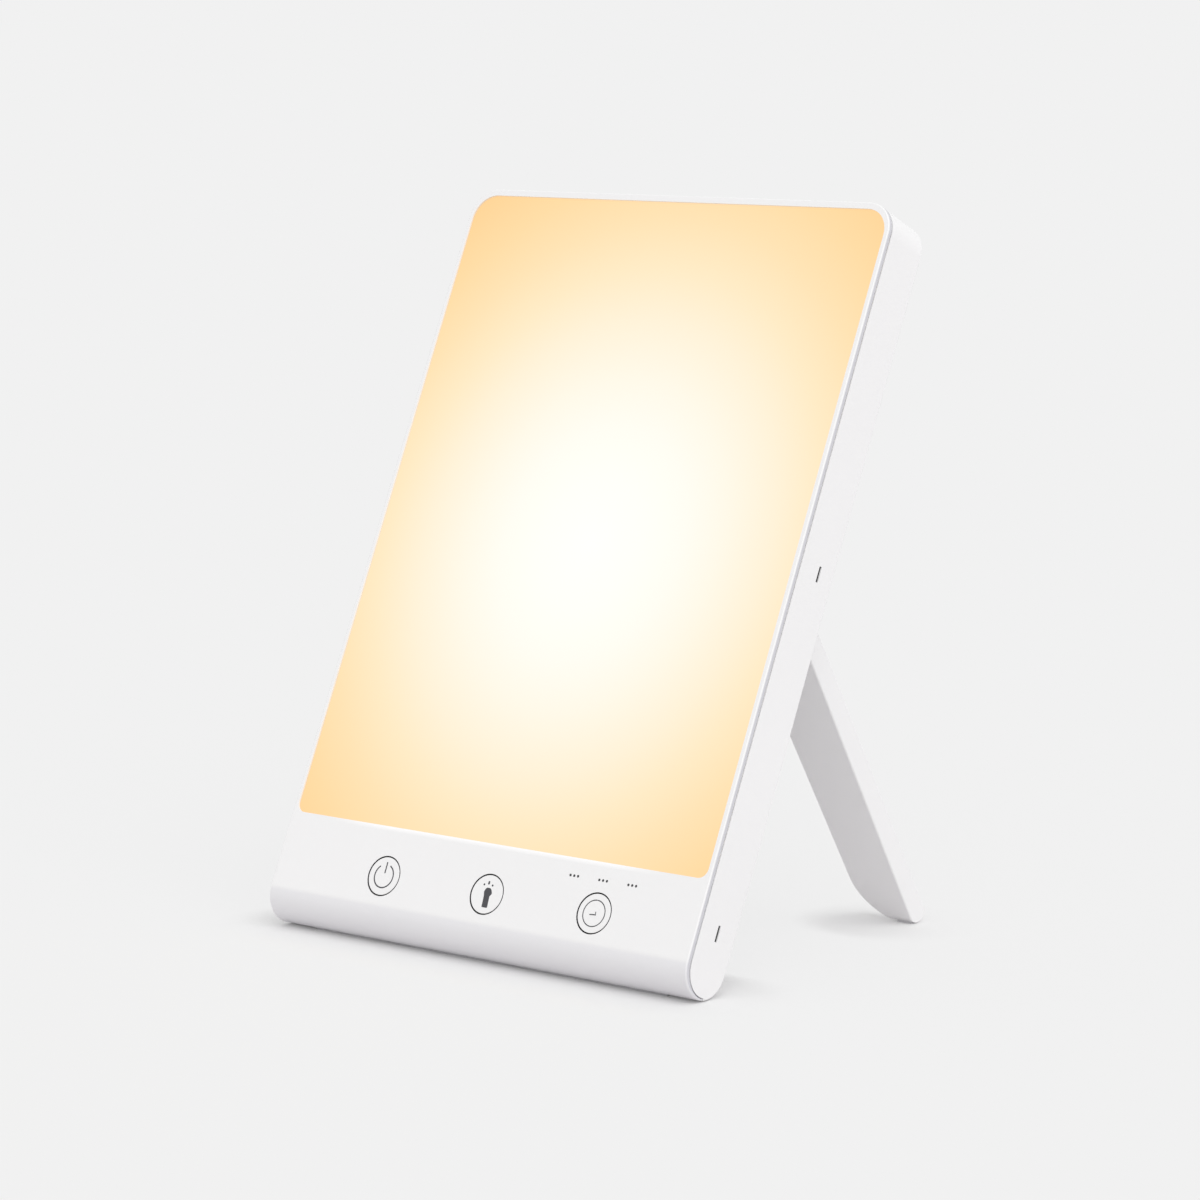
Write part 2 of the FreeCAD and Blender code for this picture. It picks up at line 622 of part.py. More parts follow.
def make_rear_cover():
    """The moulded tray behind: back, side and top walls, a rim that closes the shadow
    line, the ends of the chin, a tongue behind the front sheet's lip, and the bosses
    that reach the chassis."""
    body = new_body("rear_cover", FACE_FRAME)
    depth = half_depth - cover_front
    tray = new_sketch(body, "XZ", half_depth)
    rounded_rectangle(tray, half_width, cover_bottom, size.face_height, size.top_corner_radius)
    pad(tray, depth, -1)
    rim = new_sketch(body, "XZ", cover_front)
    rounded_rectangle(rim, half_width - size.seam_depth, cover_bottom,
                      size.face_height - size.seam_depth,
                      size.top_corner_radius - size.seam_depth)
    pad(rim, cover_front - rim_front, -1)
    hollow = new_sketch(body, "XZ", rim_front)
    rounded_rectangle(hollow, cover_inner_half, cover_bottom - size.side_wall, cover_inner_top,
                      inner_corner_radius)
    pocket(hollow, cover_inside - rim_front)

    seam_angle = size.sheet_end_angle + size.seam_end_angle
    seam_radius = half_depth - size.sheet_end_width - size.seam_end_gap
    for left in (-half_width, half_width - size.seam_depth):
        end = new_sketch(body, "YZ", left)
        outline(end, [
            (cover_front, end_top),
            (cover_front, 0, "left", "y", 0),
            on_chin(seam_radius, seam_angle),
            (*on_chin(half_depth, seam_angle), "left", "y", 0),
            (half_depth, 0),
            (half_depth, end_top)])
        pad(end, size.seam_depth)
    for left in (size.seam_depth - half_width, cover_inner_half):
        plug = new_sketch(body, "YZ", left)
        outline(plug, [(rim_front, end_top), (rim_front, 0, "left", "y", 0),
                       (-rim_front, 0), (-rim_front, end_top)])
        pad(plug, size.side_wall - size.seam_depth)
    fillet(body, size.edge_round, is_outer_cover_edge)

    tongue = new_sketch(body, "XZ", cover_inside)
    tongue_half = cover_screw_x - 2 * size.cover_boss_radius
    rectangle(tongue, -tongue_half, tongue_half, size.lip_height - size.tongue_reach,
              cover_bottom + size.tongue_reach)
    pad(tongue, size.tongue_thickness, -1)

    bosses = new_sketch(body, "XZ", cover_inside)
    for x in bracket_screw_places():
        circle(bosses, x, plate_screw_z, size.hinge_boss_radius)
    pad(bosses, cover_inside - chassis_back, -1)
    through = new_sketch(body, "XZ", half_depth)
    for x in bracket_screw_places():
        circle(through, x, plate_screw_z, size.screw_radius + size.head_clearance)
    pocket(through, size.body_depth, -1)
    case_holes = new_sketch(body, "XZ", half_depth)
    heads = new_sketch(body, "XZ", half_depth)
    for x in (-cover_screw_x, cover_screw_x):
        circle(case_holes, x, size.cover_screw_height, size.screw_radius + size.head_clearance)
        circle(heads, x, size.cover_screw_height, size.screw_head_radius + size.head_clearance)
    pocket(case_holes, size.body_depth, -1)
    pocket(heads, size.screw_head_height, -1)
    inlet = new_sketch(body, "XZ", half_depth)
    circle(inlet, 0, size.inlet_height, size.inlet_barrel_radius + size.slide_clearance)
    pocket(inlet, 2 * size.rear_wall, -1)

    for side in (-1, 1):
        slots = new_sketch(body, "YZ", side * half_width)
        for y, z in ((size.upper_slot_back, size.upper_slot_height),
                     (size.lower_slot_back, size.lower_slot_height)):
            rectangle(slots, y - size.slot_width / 2, y + size.slot_width / 2,
                      z - size.slot_length / 2, z + size.slot_length / 2)
        pocket(slots, size.side_wall, -side)
    return body


def is_outer_cover_edge(box, edge):
    """The rim of the rear cover: round the back, and down round the chin's ends."""
    on_side = box.XLength < TOL and is_on(abs(box.XMin), half_width)
    if box.YLength < TOL and is_on(box.YMin, half_depth):
        return on_side or is_on(box.ZMax, size.face_height)
    return on_side and hasattr(edge.Curve, "Radius") and is_on(edge.Curve.Radius, half_depth)


def bracket_screw_places():
    """The x of the four bracket screws, from left to right."""
    reach = size.plate_screw_spacing / 2
    return [-hinge_x - reach, -hinge_x + reach, hinge_x - reach, hinge_x + reach]


def make_cover_screws():
    screws = []
    for k, x in enumerate((-cover_screw_x, cover_screw_x)):
        screws.append(screw("cover_screw_%d" % k, x, size.cover_screw_height, half_depth,
                            size.cover_screw_length, LARGE_SCREW))
    return group("cover_screws", screws)


def make_chin_grip_strip():
    """Rubber strip let into the chin, flat where it meets the table."""
    return block("chin_grip_strip", ROW_FRAME,
                 (size.grip_inset - half_width, half_width - size.grip_inset),
                 (-size.grip_width / 2, size.grip_width / 2),
                 (0, size.pad_proud + size.pad_seat))


# ------------------------------------------------------- the lit panel inside

def sheet_layer(label, front, thickness):
    """A thin sheet of the optical stack, as wide as the chassis."""
    body = new_body(label, FACE_FRAME)
    shape = new_sketch(body, "XZ", front)
    rounded_rectangle(shape, chassis_half - size.fit_clearance, guide_bottom,
                      guide_top, inner_corner_radius)
    pad(shape, thickness)
    return body


def make_diffuser_panel():
    """Opal sheet whose rim lies behind the frame of the front shell."""
    body = new_body("diffuser_panel", FACE_FRAME)
    rim = size.bezel_ledge - size.fit_clearance
    shape = new_sketch(body, "XZ", diffuser_front)
    rounded_rectangle(shape, window_half + rim, size.window_bottom - rim, window_top + rim,
                      window_top_radius + rim, size.window_low_radius + rim)
    pad(shape, size.diffuser_thickness)
    return body


def make_light_guide():
    body = new_body("light_guide", FACE_FRAME)
    shape = new_sketch(body, "XZ", guide_front)
    rounded_rectangle(shape, guide_half, guide_bottom, guide_top,
                      inner_corner_radius - size.rail_thickness)
    pad(shape, size.guide_thickness)
    return body


def make_reflector_sheet():
    body = new_body("reflector_sheet", FACE_FRAME)
    shape = new_sketch(body, "XZ", reflector_front)
    rounded_rectangle(shape, led_board_half, guide_bottom, guide_top, inner_corner_radius)
    pad(shape, size.film_thickness)
    return body


def make_chassis_plate():
    """Folded aluminium tray: a base, a flange behind each LED board and one under
    the light guide, with threaded holes for the bracket screws."""
    body = new_body("chassis_plate", FACE_FRAME)
    base = new_sketch(body, "XZ", chassis_front)
    rounded_rectangle(base, chassis_half, size.chassis_bottom, chassis_top, inner_corner_radius)
    pad(base, size.chassis_thickness)
    flanges = new_sketch(body, "XZ", chassis_front)
    for inner, outer in ((-flange_inner_half, -chassis_half), (flange_inner_half, chassis_half)):
        left, right = (outer, inner) if inner.value < 0 else (inner, outer)
        rectangle(flanges, left, right, size.chassis_bottom, size.led_board_top)
    foot_half = led_board_half - size.guide_air_gap
    rectangle(flanges, -foot_half, foot_half, size.chassis_bottom,
              size.chassis_bottom + size.chassis_thickness)
    pad(flanges, chassis_front - guide_front, -1)
    threads = new_sketch(body, "XZ", chassis_back)
    for x in bracket_screw_places():
        circle(threads, x, plate_screw_z, size.screw_radius + size.thread_clearance)
    pocket(threads, size.chassis_thickness, -1)
    return body


def make_guide_rails():
    """White strips that hold the light guide at its two ends."""
    depth = (guide_front, reflector_front)
    top_half = half_width - size.rail_inset
    low_half = led_board_half - size.guide_air_gap
    return group("guide_rails", [
        block("guide_rail_low", FACE_FRAME, (-low_half, low_half), depth,
              (guide_bottom - size.rail_thickness, guide_bottom)),
        block("guide_rail_high", FACE_FRAME, (-top_half, top_half), depth,
              (guide_top, chassis_top))])


def make_led_board(side, sign):
    """A narrow board on the chassis flange, with a tail below the chassis."""
    ends = sorted((sign * led_board_half, sign * flange_inner_half), key=lambda s: s.value)
    return block("led_board_" + side, FACE_FRAME, tuple(ends), (guide_front, reflector_front),
                 (size.led_board_bottom, size.led_board_top))


def make_leds(side, sign):
    ends = sorted((sign * led_face_half, sign * led_board_half), key=lambda s: s.value)
    middle = guide_front + size.guide_thickness / 2
    packages = []
    for k in range(LEDS_PER_SIDE):
        z = size.led_first + k * size.led_pitch
        packages.append(block("led_%s_%d" % (side, k), FACE_FRAME, tuple(ends),
                              (middle - size.led_width / 2, middle + size.led_width / 2),
                              (z - size.led_length / 2, z + size.led_length / 2)))
    return group("leds_" + side, packages)


# ------------------------------------------------------------ the electronics

def make_control_board():
    body = new_body("control_board", FACE_FRAME)
    shape = new_sketch(body, "XZ", board_front)
    rectangle(shape, -board_half, board_half, size.board_bottom, size.board_top)
    for x in board_screw_x:
        circle(shape, x, size.board_screw_height, size.small_screw_radius + size.head_clearance)
    pad(shape, size.board_thickness)
    return body


def make_board_components():
    """The chips, inductor and capacitors on the back of the control board."""
    inlet_clear = size.dc_lead_width
    chip = size.switch_size
    inductor_x = button_x[2] - size.button_pitch / 2
    return group("board_components", [
        block("microcontroller", FACE_FRAME, (button_x[0], button_x[0] + chip),
              (board_back, board_back + size.led_depth), (chip / 2, 1.5 * chip)),
        block("led_driver", FACE_FRAME, (-inlet_clear - chip, -inlet_clear),
              (board_back, board_back + size.led_depth), (0, chip)),
        rod("inductor", FACE_FRAME, "Y", board_back, board_back + size.switch_height,
            (inductor_x, size.button_height - size.switch_height), size.switch_height),
        rod("capacitor_a", FACE_FRAME, "Y", board_back, board_back + size.plunger_radius,
            (button_x[2], size.button_height), size.plunger_radius),
        rod("capacitor_b", FACE_FRAME, "Y", board_back, board_back + size.plunger_radius,
            (button_x[2] + chip, size.button_height), size.plunger_radius)])


def connector_ends(side):
    if side == "left":
        return (-board_half, size.connector_length - board_half)
    return (board_half - size.connector_length, board_half)


def make_board_connectors():
    members = []
    for side in ("left", "right"):
        members.append(block("connector_" + side, FACE_FRAME, connector_ends(side),
                             (board_front - size.connector_height, board_front),
                             (size.led_board_bottom,
                              size.led_board_bottom + size.connector_length)))
    return group("board_connectors", members)


def make_led_flex(side, sign):
    """A flat lead from the tail of an LED board to its connector."""
    low = size.led_board_bottom + (size.connector_length - size.flex_width) / 2
    if sign < 0:
        ends = (-flange_inner_half, -board_half)
    else:
        ends = (board_half, flange_inner_half)
    return block("led_flex_" + side, FACE_FRAME, ends,
                 (reflector_front, reflector_front + size.flex_thickness),
                 (low, low + size.flex_width))


def make_tact_switches():
    """Three switch housings, each bored for its plunger and the plunger's travel."""
    housings = []
    bore_depth = size.plunger_hidden + size.button_travel + 2 * size.slide_clearance
    reach = size.switch_size / 2
    for name, x in zip(BUTTONS, button_x):
        housing = block(name + "_switch_block", FACE_FRAME, (x - reach, x + reach),
                        (switch_front, board_front),
                        (size.button_height - reach, size.button_height + reach))
        bore = rod(name + "_switch_bore", FACE_FRAME, "Y", switch_front,
                   switch_front + bore_depth, (x, size.button_height),
                   size.plunger_radius + size.slide_clearance)
        housings.append(cut(name + "_switch", housing, bore))
    return group("tact_switches", housings)


def make_plunger(name, x):
    return rod(name + "_plunger", FACE_FRAME, "Y", plunger_top,
               switch_front + size.plunger_hidden, (x, size.button_height),
               size.plunger_radius)


def make_button(name, x):
    """A cap that is flush with the face, a flange that keeps it in, and a stem that
    rests on the switch plunger."""
    body = new_body(name + "_button", FACE_FRAME)
    flange_front = face_inside + size.slide_clearance
    cap = new_sketch(body, "XZ", face_y)
    circle(cap, x, size.button_height, size.button_radius)
    pad(cap, flange_front - face_y)
    fillet(body, size.button_edge,
           lambda box, edge: box.YLength < TOL and is_on(box.YMin, face_y))
    flange = new_sketch(body, "XZ", flange_front)
    circle(flange, x, size.button_height, size.button_radius + size.button_flange)
    pad(flange, size.flange_thickness)
    stem = new_sketch(body, "XZ", flange_front + size.flange_thickness)
    circle(stem, x, size.button_height, size.stem_radius)
    pad(stem, plunger_top - flange_front - size.flange_thickness)
    return body


def make_indicator_light_pipes():
    """A clear block behind each group of dots, with a pin in each dot's hole."""
    pipes = []
    back = board_front - size.indicator_led_height - size.slide_clearance
    for k, x in enumerate(indicator_x):
        body = new_body("indicator_pipe_%d" % k, FACE_FRAME)
        bar = new_sketch(body, "XZ", face_inside)
        reach = size.dot_pitch + size.pipe_width / 2
        rectangle(bar, x - reach, x + reach, size.indicator_height - size.pipe_width / 2,
                  size.indicator_height + size.pipe_width / 2)
        pad(bar, back - face_inside)
        pins = new_sketch(body, "XZ", face_inside)
        for j in range(DOTS_PER_GROUP):
            circle(pins, x + (j - 1) * size.dot_pitch, size.indicator_height,
                   size.dot_radius - size.slide_clearance)
        pad(pins, size.front_wall, -1)
        pipes.append(body)
    return group("indicator_light_pipes", pipes)


def make_indicator_leds():
    members = []
    front = board_front - size.indicator_led_height
    for k, x in enumerate(indicator_x):
        reach = size.dot_pitch + size.dot_radius
        members.append(block("indicator_led_%d" % k, FACE_FRAME, (x - reach, x + reach),
                             (front, board_front),
                             (size.indicator_height - size.led_width / 2,
                              size.indicator_height + size.led_width / 2)))
    return group("indicator_leds", members)


def make_board_screws():
    screws = []
    for k, x in enumerate(board_screw_x):
        screws.append(screw("board_screw_%d" % k, x, size.board_screw_height,
                            board_back + size.small_head_height, size.small_screw_length,
                            SMALL_SCREW))
    return group("board_screws", screws)


def make_dc_socket():
    """The power inlet: a housing against the back, and a barrel flush with it."""
    body = new_body("dc_socket", FACE_FRAME)
    floor = half_depth - size.inlet_bore_depth - size.inlet_floor
    housing = new_sketch(body, "XZ", floor)
    rectangle(housing, -size.inlet_box_width / 2, size.inlet_box_width / 2,
              size.inlet_height - size.inlet_box_height / 2,
              size.inlet_height + size.inlet_box_height / 2)
    pad(housing, cover_inside - floor)
    barrel = new_sketch(body, "XZ", cover_inside)
    circle(barrel, 0, size.inlet_height, size.inlet_barrel_radius)
    pad(barrel, size.rear_wall)
    bore = new_sketch(body, "XZ", half_depth)
    circle(bore, 0, size.inlet_height, size.inlet_bore_radius)
    pocket(bore, size.inlet_bore_depth, -1)
    return body


def make_dc_socket_pin():
    return rod("dc_socket_pin", FACE_FRAME, "Y", half_depth - size.inlet_bore_depth,
               half_depth - size.inlet_pin_recess, (0, size.inlet_height),
               size.inlet_pin_radius)


def make_dc_lead():
    """A flat lead down from the inlet's housing onto the control board."""
    return block("dc_lead", FACE_FRAME, (-size.dc_lead_width / 2, size.dc_lead_width / 2),
                 (board_back, board_back + size.dc_lead_thickness),
                 (size.board_top - size.dc_lead_overlap,
                  size.inlet_height - size.inlet_box_height / 2))


# ------------------------------------------------------- the hinge and stand

def make_hinge_bracket(side, sign):
    """A plate screwed to the back, with one ear that carries the pin."""
    body = new_body("hinge_bracket_" + side, FACE_FRAME)
    x = sign * hinge_x
    axis_z = size.hinge_height
    plate_back = half_depth + size.plate_thickness
    ear = new_sketch(body, "YZ", x)
    outline(ear, [
        (half_depth, axis_z - size.plate_low),
        (hinge_y, axis_z - size.ear_radius, "left", "x", hinge_y),
        (hinge_y, axis_z + size.ear_radius),
        (plate_back, axis_z + size.plate_low),
        (plate_back, axis_z + size.plate_high),
        (half_depth, axis_z + size.plate_high)])
    pad(ear, size.ear_width, 0)
    plate = new_sketch(body, "XZ", half_depth)
    rectangle(plate, x - size.plate_width / 2, x + size.plate_width / 2,
              axis_z + size.plate_low, axis_z + size.plate_high)
    pad(plate, size.plate_thickness)
    fillet(body, size.plate_thickness,
           lambda box, edge: box.XLength < TOL and box.ZLength < TOL
           and is_on(box.YMax, plate_back) and is_on(abs(box.XMin - x.value),
                                                     size.plate_width / 2))
    bore = new_sketch(body, "YZ", x)
    circle(bore, hinge_y, axis_z, size.pin_radius + size.slide_clearance)
    pocket(bore, 2 * size.ear_width, 0)
    holes = new_sketch(body, "XZ", plate_back)
    heads = new_sketch(body, "XZ", plate_back)
    for offset in (-size.plate_screw_spacing / 2, size.plate_screw_spacing / 2):
        circle(holes, x + offset, plate_screw_z, size.screw_radius + size.head_clearance)
        circle(heads, x + offset, plate_screw_z, size.screw_head_radius + size.head_clearance)
    pocket(holes, size.plate_thickness, -1)
    pocket(heads, size.screw_head_height, -1)
    return body


def make_hinge_screws():
    """They pass through plate, back and boss into the chassis."""
    screws = []
    head_y = half_depth + size.plate_thickness
    for k, x in enumerate(bracket_screw_places()):
        screws.append(screw("hinge_screw_%d" % k, x, plate_screw_z, head_y,
                            head_y - chassis_front, LARGE_SCREW))
    return group("hinge_screws", screws)


def make_hinge_pin(side, sign):
    ends = (hinge_x - size.pin_reach, size.stand_half_width - size.pin_recess)
    if sign < 0:
        ends = (-ends[1], -ends[0])
    return rod("hinge_pin_" + side, STAND_FRAME, "X", ends[0], ends[1], (0, 0),
               size.pin_radius)


def make_friction_washers():
    """A fibre washer on each side of each ear."""
    washers = []
    start = size.ear_width / 2 + size.slide_clearance
    for k, x in enumerate((-hinge_x - start - size.washer_thickness, -hinge_x + start,
                           hinge_x - start - size.washer_thickness, hinge_x + start)):
        disc = rod("washer_disc_%d" % k, FACE_FRAME, "X", x, x + size.washer_thickness,
                   (hinge_y, size.hinge_height), size.washer_radius)
        hole = rod("washer_hole_%d" % k, FACE_FRAME, "X", x - 1, x + size.washer_thickness + 1,
                   (hinge_y, size.hinge_height), size.pin_radius + 2 * size.slide_clearance)
        washers.append(cut("washer_%d" % k, disc, hole))
    return group("friction_washers", washers)


def make_stand_frame():
    """The moulded arch: a crossbar on the hinge and two legs, each with a round toe
    that is curved in from the leg's inner edge."""
    body = new_body("stand_frame", STAND_FRAME)
    outer = size.stand_half_width
    corner = size.stand_corner_radius
    heel = size.stand_heel
    tip = -leg_reach - foot_radius
    toe = outer - size.toe_flat
    curve = size.foot_curve_radius
    leg_foot = toe - curve
    leg_top = outer - size.leg_top_width
    arch_top = -size.crossbar_depth
    arch = size.arch_radius
    shape = new_sketch(body, "XZ")
    outline(shape, [
        (-outer, heel - corner, "right", "x", -outer + corner),
        (-outer + corner, heel),
        (outer - corner, heel, "right", "x", outer - corner),
        (outer, heel - corner),
        (outer, tip),
        (toe, tip, "right", "x", toe),
        (leg_foot, tip + curve),
        (leg_top, arch_top - arch, "left", "x", leg_top - arch),
        (leg_top - arch, arch_top),
        (arch - leg_top, arch_top, "left", "x", arch - leg_top),
        (-leg_top, arch_top - arch),
        (-leg_foot, tip + curve, "right", "x", -toe),
        (-toe, tip),
        (-outer, tip)])
    pad(shape, size.stand_thickness, 0)
    fillet(body, size.stand_edge,
           lambda box, edge: box.YLength < TOL and is_on(abs(box.YMin), foot_radius)
           and box.ZMax > tip.value + curve.value + TOL)

    for side, turn in ((1, "right"), (-1, "left")):
        beyond = side * (foot_radius + 1)
        below = tip - 1
        rounding = new_sketch(body, "YZ")
        outline(rounding, [(side * foot_radius, -leg_reach, turn, "x", 0), (0, tip),
                           (0, below), (beyond, below), (beyond, -leg_reach)])
        pocket(rounding, 3 * outer, 0)

    notch_half = size.ear_width / 2 + size.washer_thickness + 2 * size.slide_clearance
    notches = new_sketch(body, "XZ")
    for x in (-hinge_x, hinge_x):
        rectangle(notches, x - notch_half, x + notch_half, -size.notch_depth, heel + 1)
    pocket(notches, 2 * size.stand_thickness, 0)
    for side in (-1, 1):
        bore = new_sketch(body, "YZ", side * outer)
        circle(bore, 0, 0, size.pin_radius + size.thread_clearance)
        pocket(bore, size.hinge_inset + size.pin_reach, -side)
        seat = new_sketch(body, "YZ", side * (outer - size.foot_pad_inset),
                          shift=(0, -leg_reach), turn=-leg_slope)
        rectangle(seat, -size.foot_pad_width / 2 - size.slide_clearance,
                  size.foot_pad_width / 2 + size.slide_clearance,
                  -2 * foot_radius, size.pad_seat - foot_radius)
        pocket(seat, size.foot_pad_length + 2 * size.slide_clearance, 0)
    return body


def make_stand_feet():
    """Rubber feet let into the toes, flat where they meet the table."""
    feet = []
    for k, side in enumerate((-1, 1)):
        middle = side * (size.stand_half_width - size.foot_pad_inset)
        feet.append(block("stand_foot_%d" % k, ROW_FRAME,
                          (middle - size.foot_pad_length / 2, middle + size.foot_pad_length / 2),
                          (foot_behind_chin - size.foot_pad_width / 2,
                           foot_behind_chin + size.foot_pad_width / 2),
                          (0, size.pad_proud + size.pad_seat)))
    return group("stand_feet", feet)


# ---------------------------------------------------------------- everything

def build():
    for part in (make_front_shell(), make_rear_cover(), make_cover_screws(),
                 make_chin_grip_strip(), make_diffuser_panel(),
                 sheet_layer("prism_film", film_front, size.film_thickness),
                 make_light_guide(), make_reflector_sheet(), make_chassis_plate(),
                 make_guide_rails(), make_control_board(), make_board_components(),
                 make_board_connectors(), make_tact_switches(), make_indicator_light_pipes(),
                 make_indicator_leds(), make_board_screws(), make_dc_socket(),
                 make_dc_socket_pin(), make_dc_lead(), make_hinge_screws(),
                 make_friction_washers(), make_stand_frame(), make_stand_feet()):
        nodes[part.Label] = part
    for side, sign in (("left", -1), ("right", 1)):
        for part in (make_led_board(side, sign), make_leds(side, sign),
                     make_led_flex(side, sign), make_hinge_bracket(side, sign),
                     make_hinge_pin(side, sign)):
            nodes[part.Label] = part
    for name, x in zip(BUTTONS, button_x):
        for part in (make_button(name, x), make_plunger(name, x)):
            nodes[part.Label] = part
    doc.recompute()


def check():
    """Stops if a feature failed or a node's shape isn't sound."""
    for thing in doc.Objects:
        if "Invalid" in thing.State or "Error" in thing.State:
            raise RuntimeError("%s failed: %s" % (thing.Name, thing.State))
    for name, part in nodes.items():
        if part.Shape.isNull() or not part.Shape.isValid() or not part.Shape.Solids:
            raise RuntimeError(name + " has no sound shape")


def export():
    os.makedirs("parts", exist_ok=True)
    for name, part in sorted(nodes.items()):
        part.Shape.exportStep("parts/%s.step" % name)
        print("%-24s %2d solids %9.1f mm3" % (name, len(part.Shape.Solids), part.Shape.Volume))


build()
check()
export()
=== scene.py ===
import math

import bmesh
import bpy
from mathutils import Matrix, Vector


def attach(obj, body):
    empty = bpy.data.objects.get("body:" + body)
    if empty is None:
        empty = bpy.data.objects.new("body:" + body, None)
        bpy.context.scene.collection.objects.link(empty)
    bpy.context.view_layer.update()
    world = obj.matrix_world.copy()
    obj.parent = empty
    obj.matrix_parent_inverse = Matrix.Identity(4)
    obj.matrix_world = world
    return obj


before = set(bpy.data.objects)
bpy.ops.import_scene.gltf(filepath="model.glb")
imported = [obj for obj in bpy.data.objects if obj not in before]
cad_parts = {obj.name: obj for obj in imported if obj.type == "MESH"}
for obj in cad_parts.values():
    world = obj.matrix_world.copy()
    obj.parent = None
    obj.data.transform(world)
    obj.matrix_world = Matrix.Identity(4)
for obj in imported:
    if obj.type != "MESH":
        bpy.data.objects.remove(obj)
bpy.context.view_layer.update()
scene = bpy.context.scene

# ------------------------------------------------------------------ the table
# A plain matt white table top that runs on to a seamless backdrop of the same
# white. It is sprayed board, so it has no gloss and takes soft shadows only.


def srgb(code):
    """A colour written as sRGB hex, as linear RGBA."""
    parts = [int(code[k:k + 2], 16) / 255 for k in (1, 3, 5)]
    linear = [p / 12.92 if p <= 0.04045 else ((p + 0.055) / 1.055) ** 2.4 for p in parts]
    return (*linear, 1.0)


def add_node(tree, kind, settings=None, links=None):
    """A node of a tree: settings set its properties or sockets, links feed its sockets."""
    made = tree.nodes.new(kind)
    for name, value in (settings or {}).items():
        if isinstance(name, str) and hasattr(made, name):
            setattr(made, name, value)
        else:
            made.inputs[name].default_value = value
    for name, source in (links or {}).items():
        tree.links.new(source, made.inputs[name])
    return made


def new_material(name):
    """An empty node material."""
    material = bpy.data.materials.new(name)
    material.use_nodes = True
    material.node_tree.nodes.clear()
    return material


def looking_rays(tree):
    """Is 1 for a ray that looks at something and 0 for one that carries light to it."""
    rays = add_node(tree, "ShaderNodeLightPath")
    looking = rays.outputs["Is Camera Ray"]
    for other in ("Is Glossy Ray", "Is Transmission Ray"):
        either_way = add_node(tree, "ShaderNodeMath", {"operation": "MAXIMUM"},
                              {0: looking, 1: rays.outputs[other]})
        looking = either_way.outputs[0]
    return looking


# Sizes are in metres, here and below, unless a comment says millimetres.
TABLE_SIZE = 400.0
PAPER_WHITE = "#F1F1F1"
BOARD_PAINT = "#EBEBEB"
BOARD_BOUNCE = "#DFDCDE"

# How far round a spot of the table things count, how open it is from closed in to
# free, and how much of its white is then the tent's own.
CONTACT_REACH = 0.022
CONTACT_OPEN = (0.86, 0.99)
HAZE_SHARE = (0.1, 0.85)

# Sprayed board: matt white. Most of its white is the tent's own, so a broad
# shadow on it stays pale, and one close under the lamp stays dark.
matt_white_board = new_material("matt_white_board")
board = matt_white_board.node_tree
paint = add_node(board, "ShaderNodeBsdfDiffuse", {"Color": srgb(BOARD_PAINT)})
haze = add_node(board, "ShaderNodeEmission", {"Color": srgb(PAPER_WHITE), "Strength": 1.0})
near = add_node(board, "ShaderNodeAmbientOcclusion", {"samples": 16, "Distance": CONTACT_REACH})
open_air = add_node(board, "ShaderNodeMapRange",
                    {"From Min": CONTACT_OPEN[0], "From Max": CONTACT_OPEN[1],
                     "To Min": HAZE_SHARE[0], "To Max": HAZE_SHARE[1]},
                    {"Value": near.outputs["AO"]})
shown = add_node(board, "ShaderNodeMixShader", links={
    0: open_air.outputs[0], 1: paint.outputs[0], 2: haze.outputs[0]})
bounce = add_node(board, "ShaderNodeBsdfDiffuse", {"Color": srgb(BOARD_BOUNCE)})
either = add_node(board, "ShaderNodeMixShader", links={
    0: looking_rays(board), 1: bounce.outputs[0], 2: shown.outputs[0]})
add_node(board, "ShaderNodeOutputMaterial", links={"Surface": either.outputs[0]})

bpy.ops.object.select_all(action="DESELECT")
bpy.ops.mesh.primitive_plane_add(size=TABLE_SIZE)
table = bpy.context.active_object
table.name = "table_top"
table.data.materials.append(matt_white_board)

# ----------------------------------------------------------- light and camera
# A studio: a white tent all round, and one large soft lamp on the right, set so
# that a white wall looks about its own colour. The camera is low, with a long
# lens, and stands to the right of the front.

TENT_LEVEL = 0.80
LAMP_PUSH = Vector((0.212, -0.106, 0.26))
LAMP_SPREAD = 62.0

scene.view_settings.view_transform = "Standard"
world = bpy.data.worlds.new("white_tent")
world.use_nodes = True
scene.world = world
tent = world.node_tree
tent.nodes.clear()
lit_by = add_node(tent, "ShaderNodeBackground", {"Color": (1, 1, 1, 1), "Strength": TENT_LEVEL})
backdrop = add_node(tent, "ShaderNodeBackground", {"Color": srgb(PAPER_WHITE), "Strength": 1.0})
either = add_node(tent, "ShaderNodeMixShader", links={
    0: looking_rays(tent), 1: lit_by.outputs[0], 2: backdrop.outputs[0]})
add_node(tent, "ShaderNodeOutputWorld", links={"Surface": either.outputs[0]})

lamp_data = bpy.data.lights.new("soft_lamp", "SUN")
lamp_data.angle = math.radians(LAMP_SPREAD)
lamp_data.energy = math.pi * LAMP_PUSH.length
lamp = bpy.data.objects.new("soft_lamp", lamp_data)
lamp.rotation_euler = LAMP_PUSH.to_track_quat("Z", "Y").to_euler()
scene.collection.objects.link(lamp)

CAMERA_AZIMUTH = math.radians(39.421)
CAMERA_ELEVATION = math.radians(8.075)
CAMERA_DISTANCE = 1.15794
AIM_RIGHT = 0.031059
AIM_UP = 0.101810
LENS_MM = 122.9394
SENSOR_MM = 36.0
FAR_CLIP = 1000.0

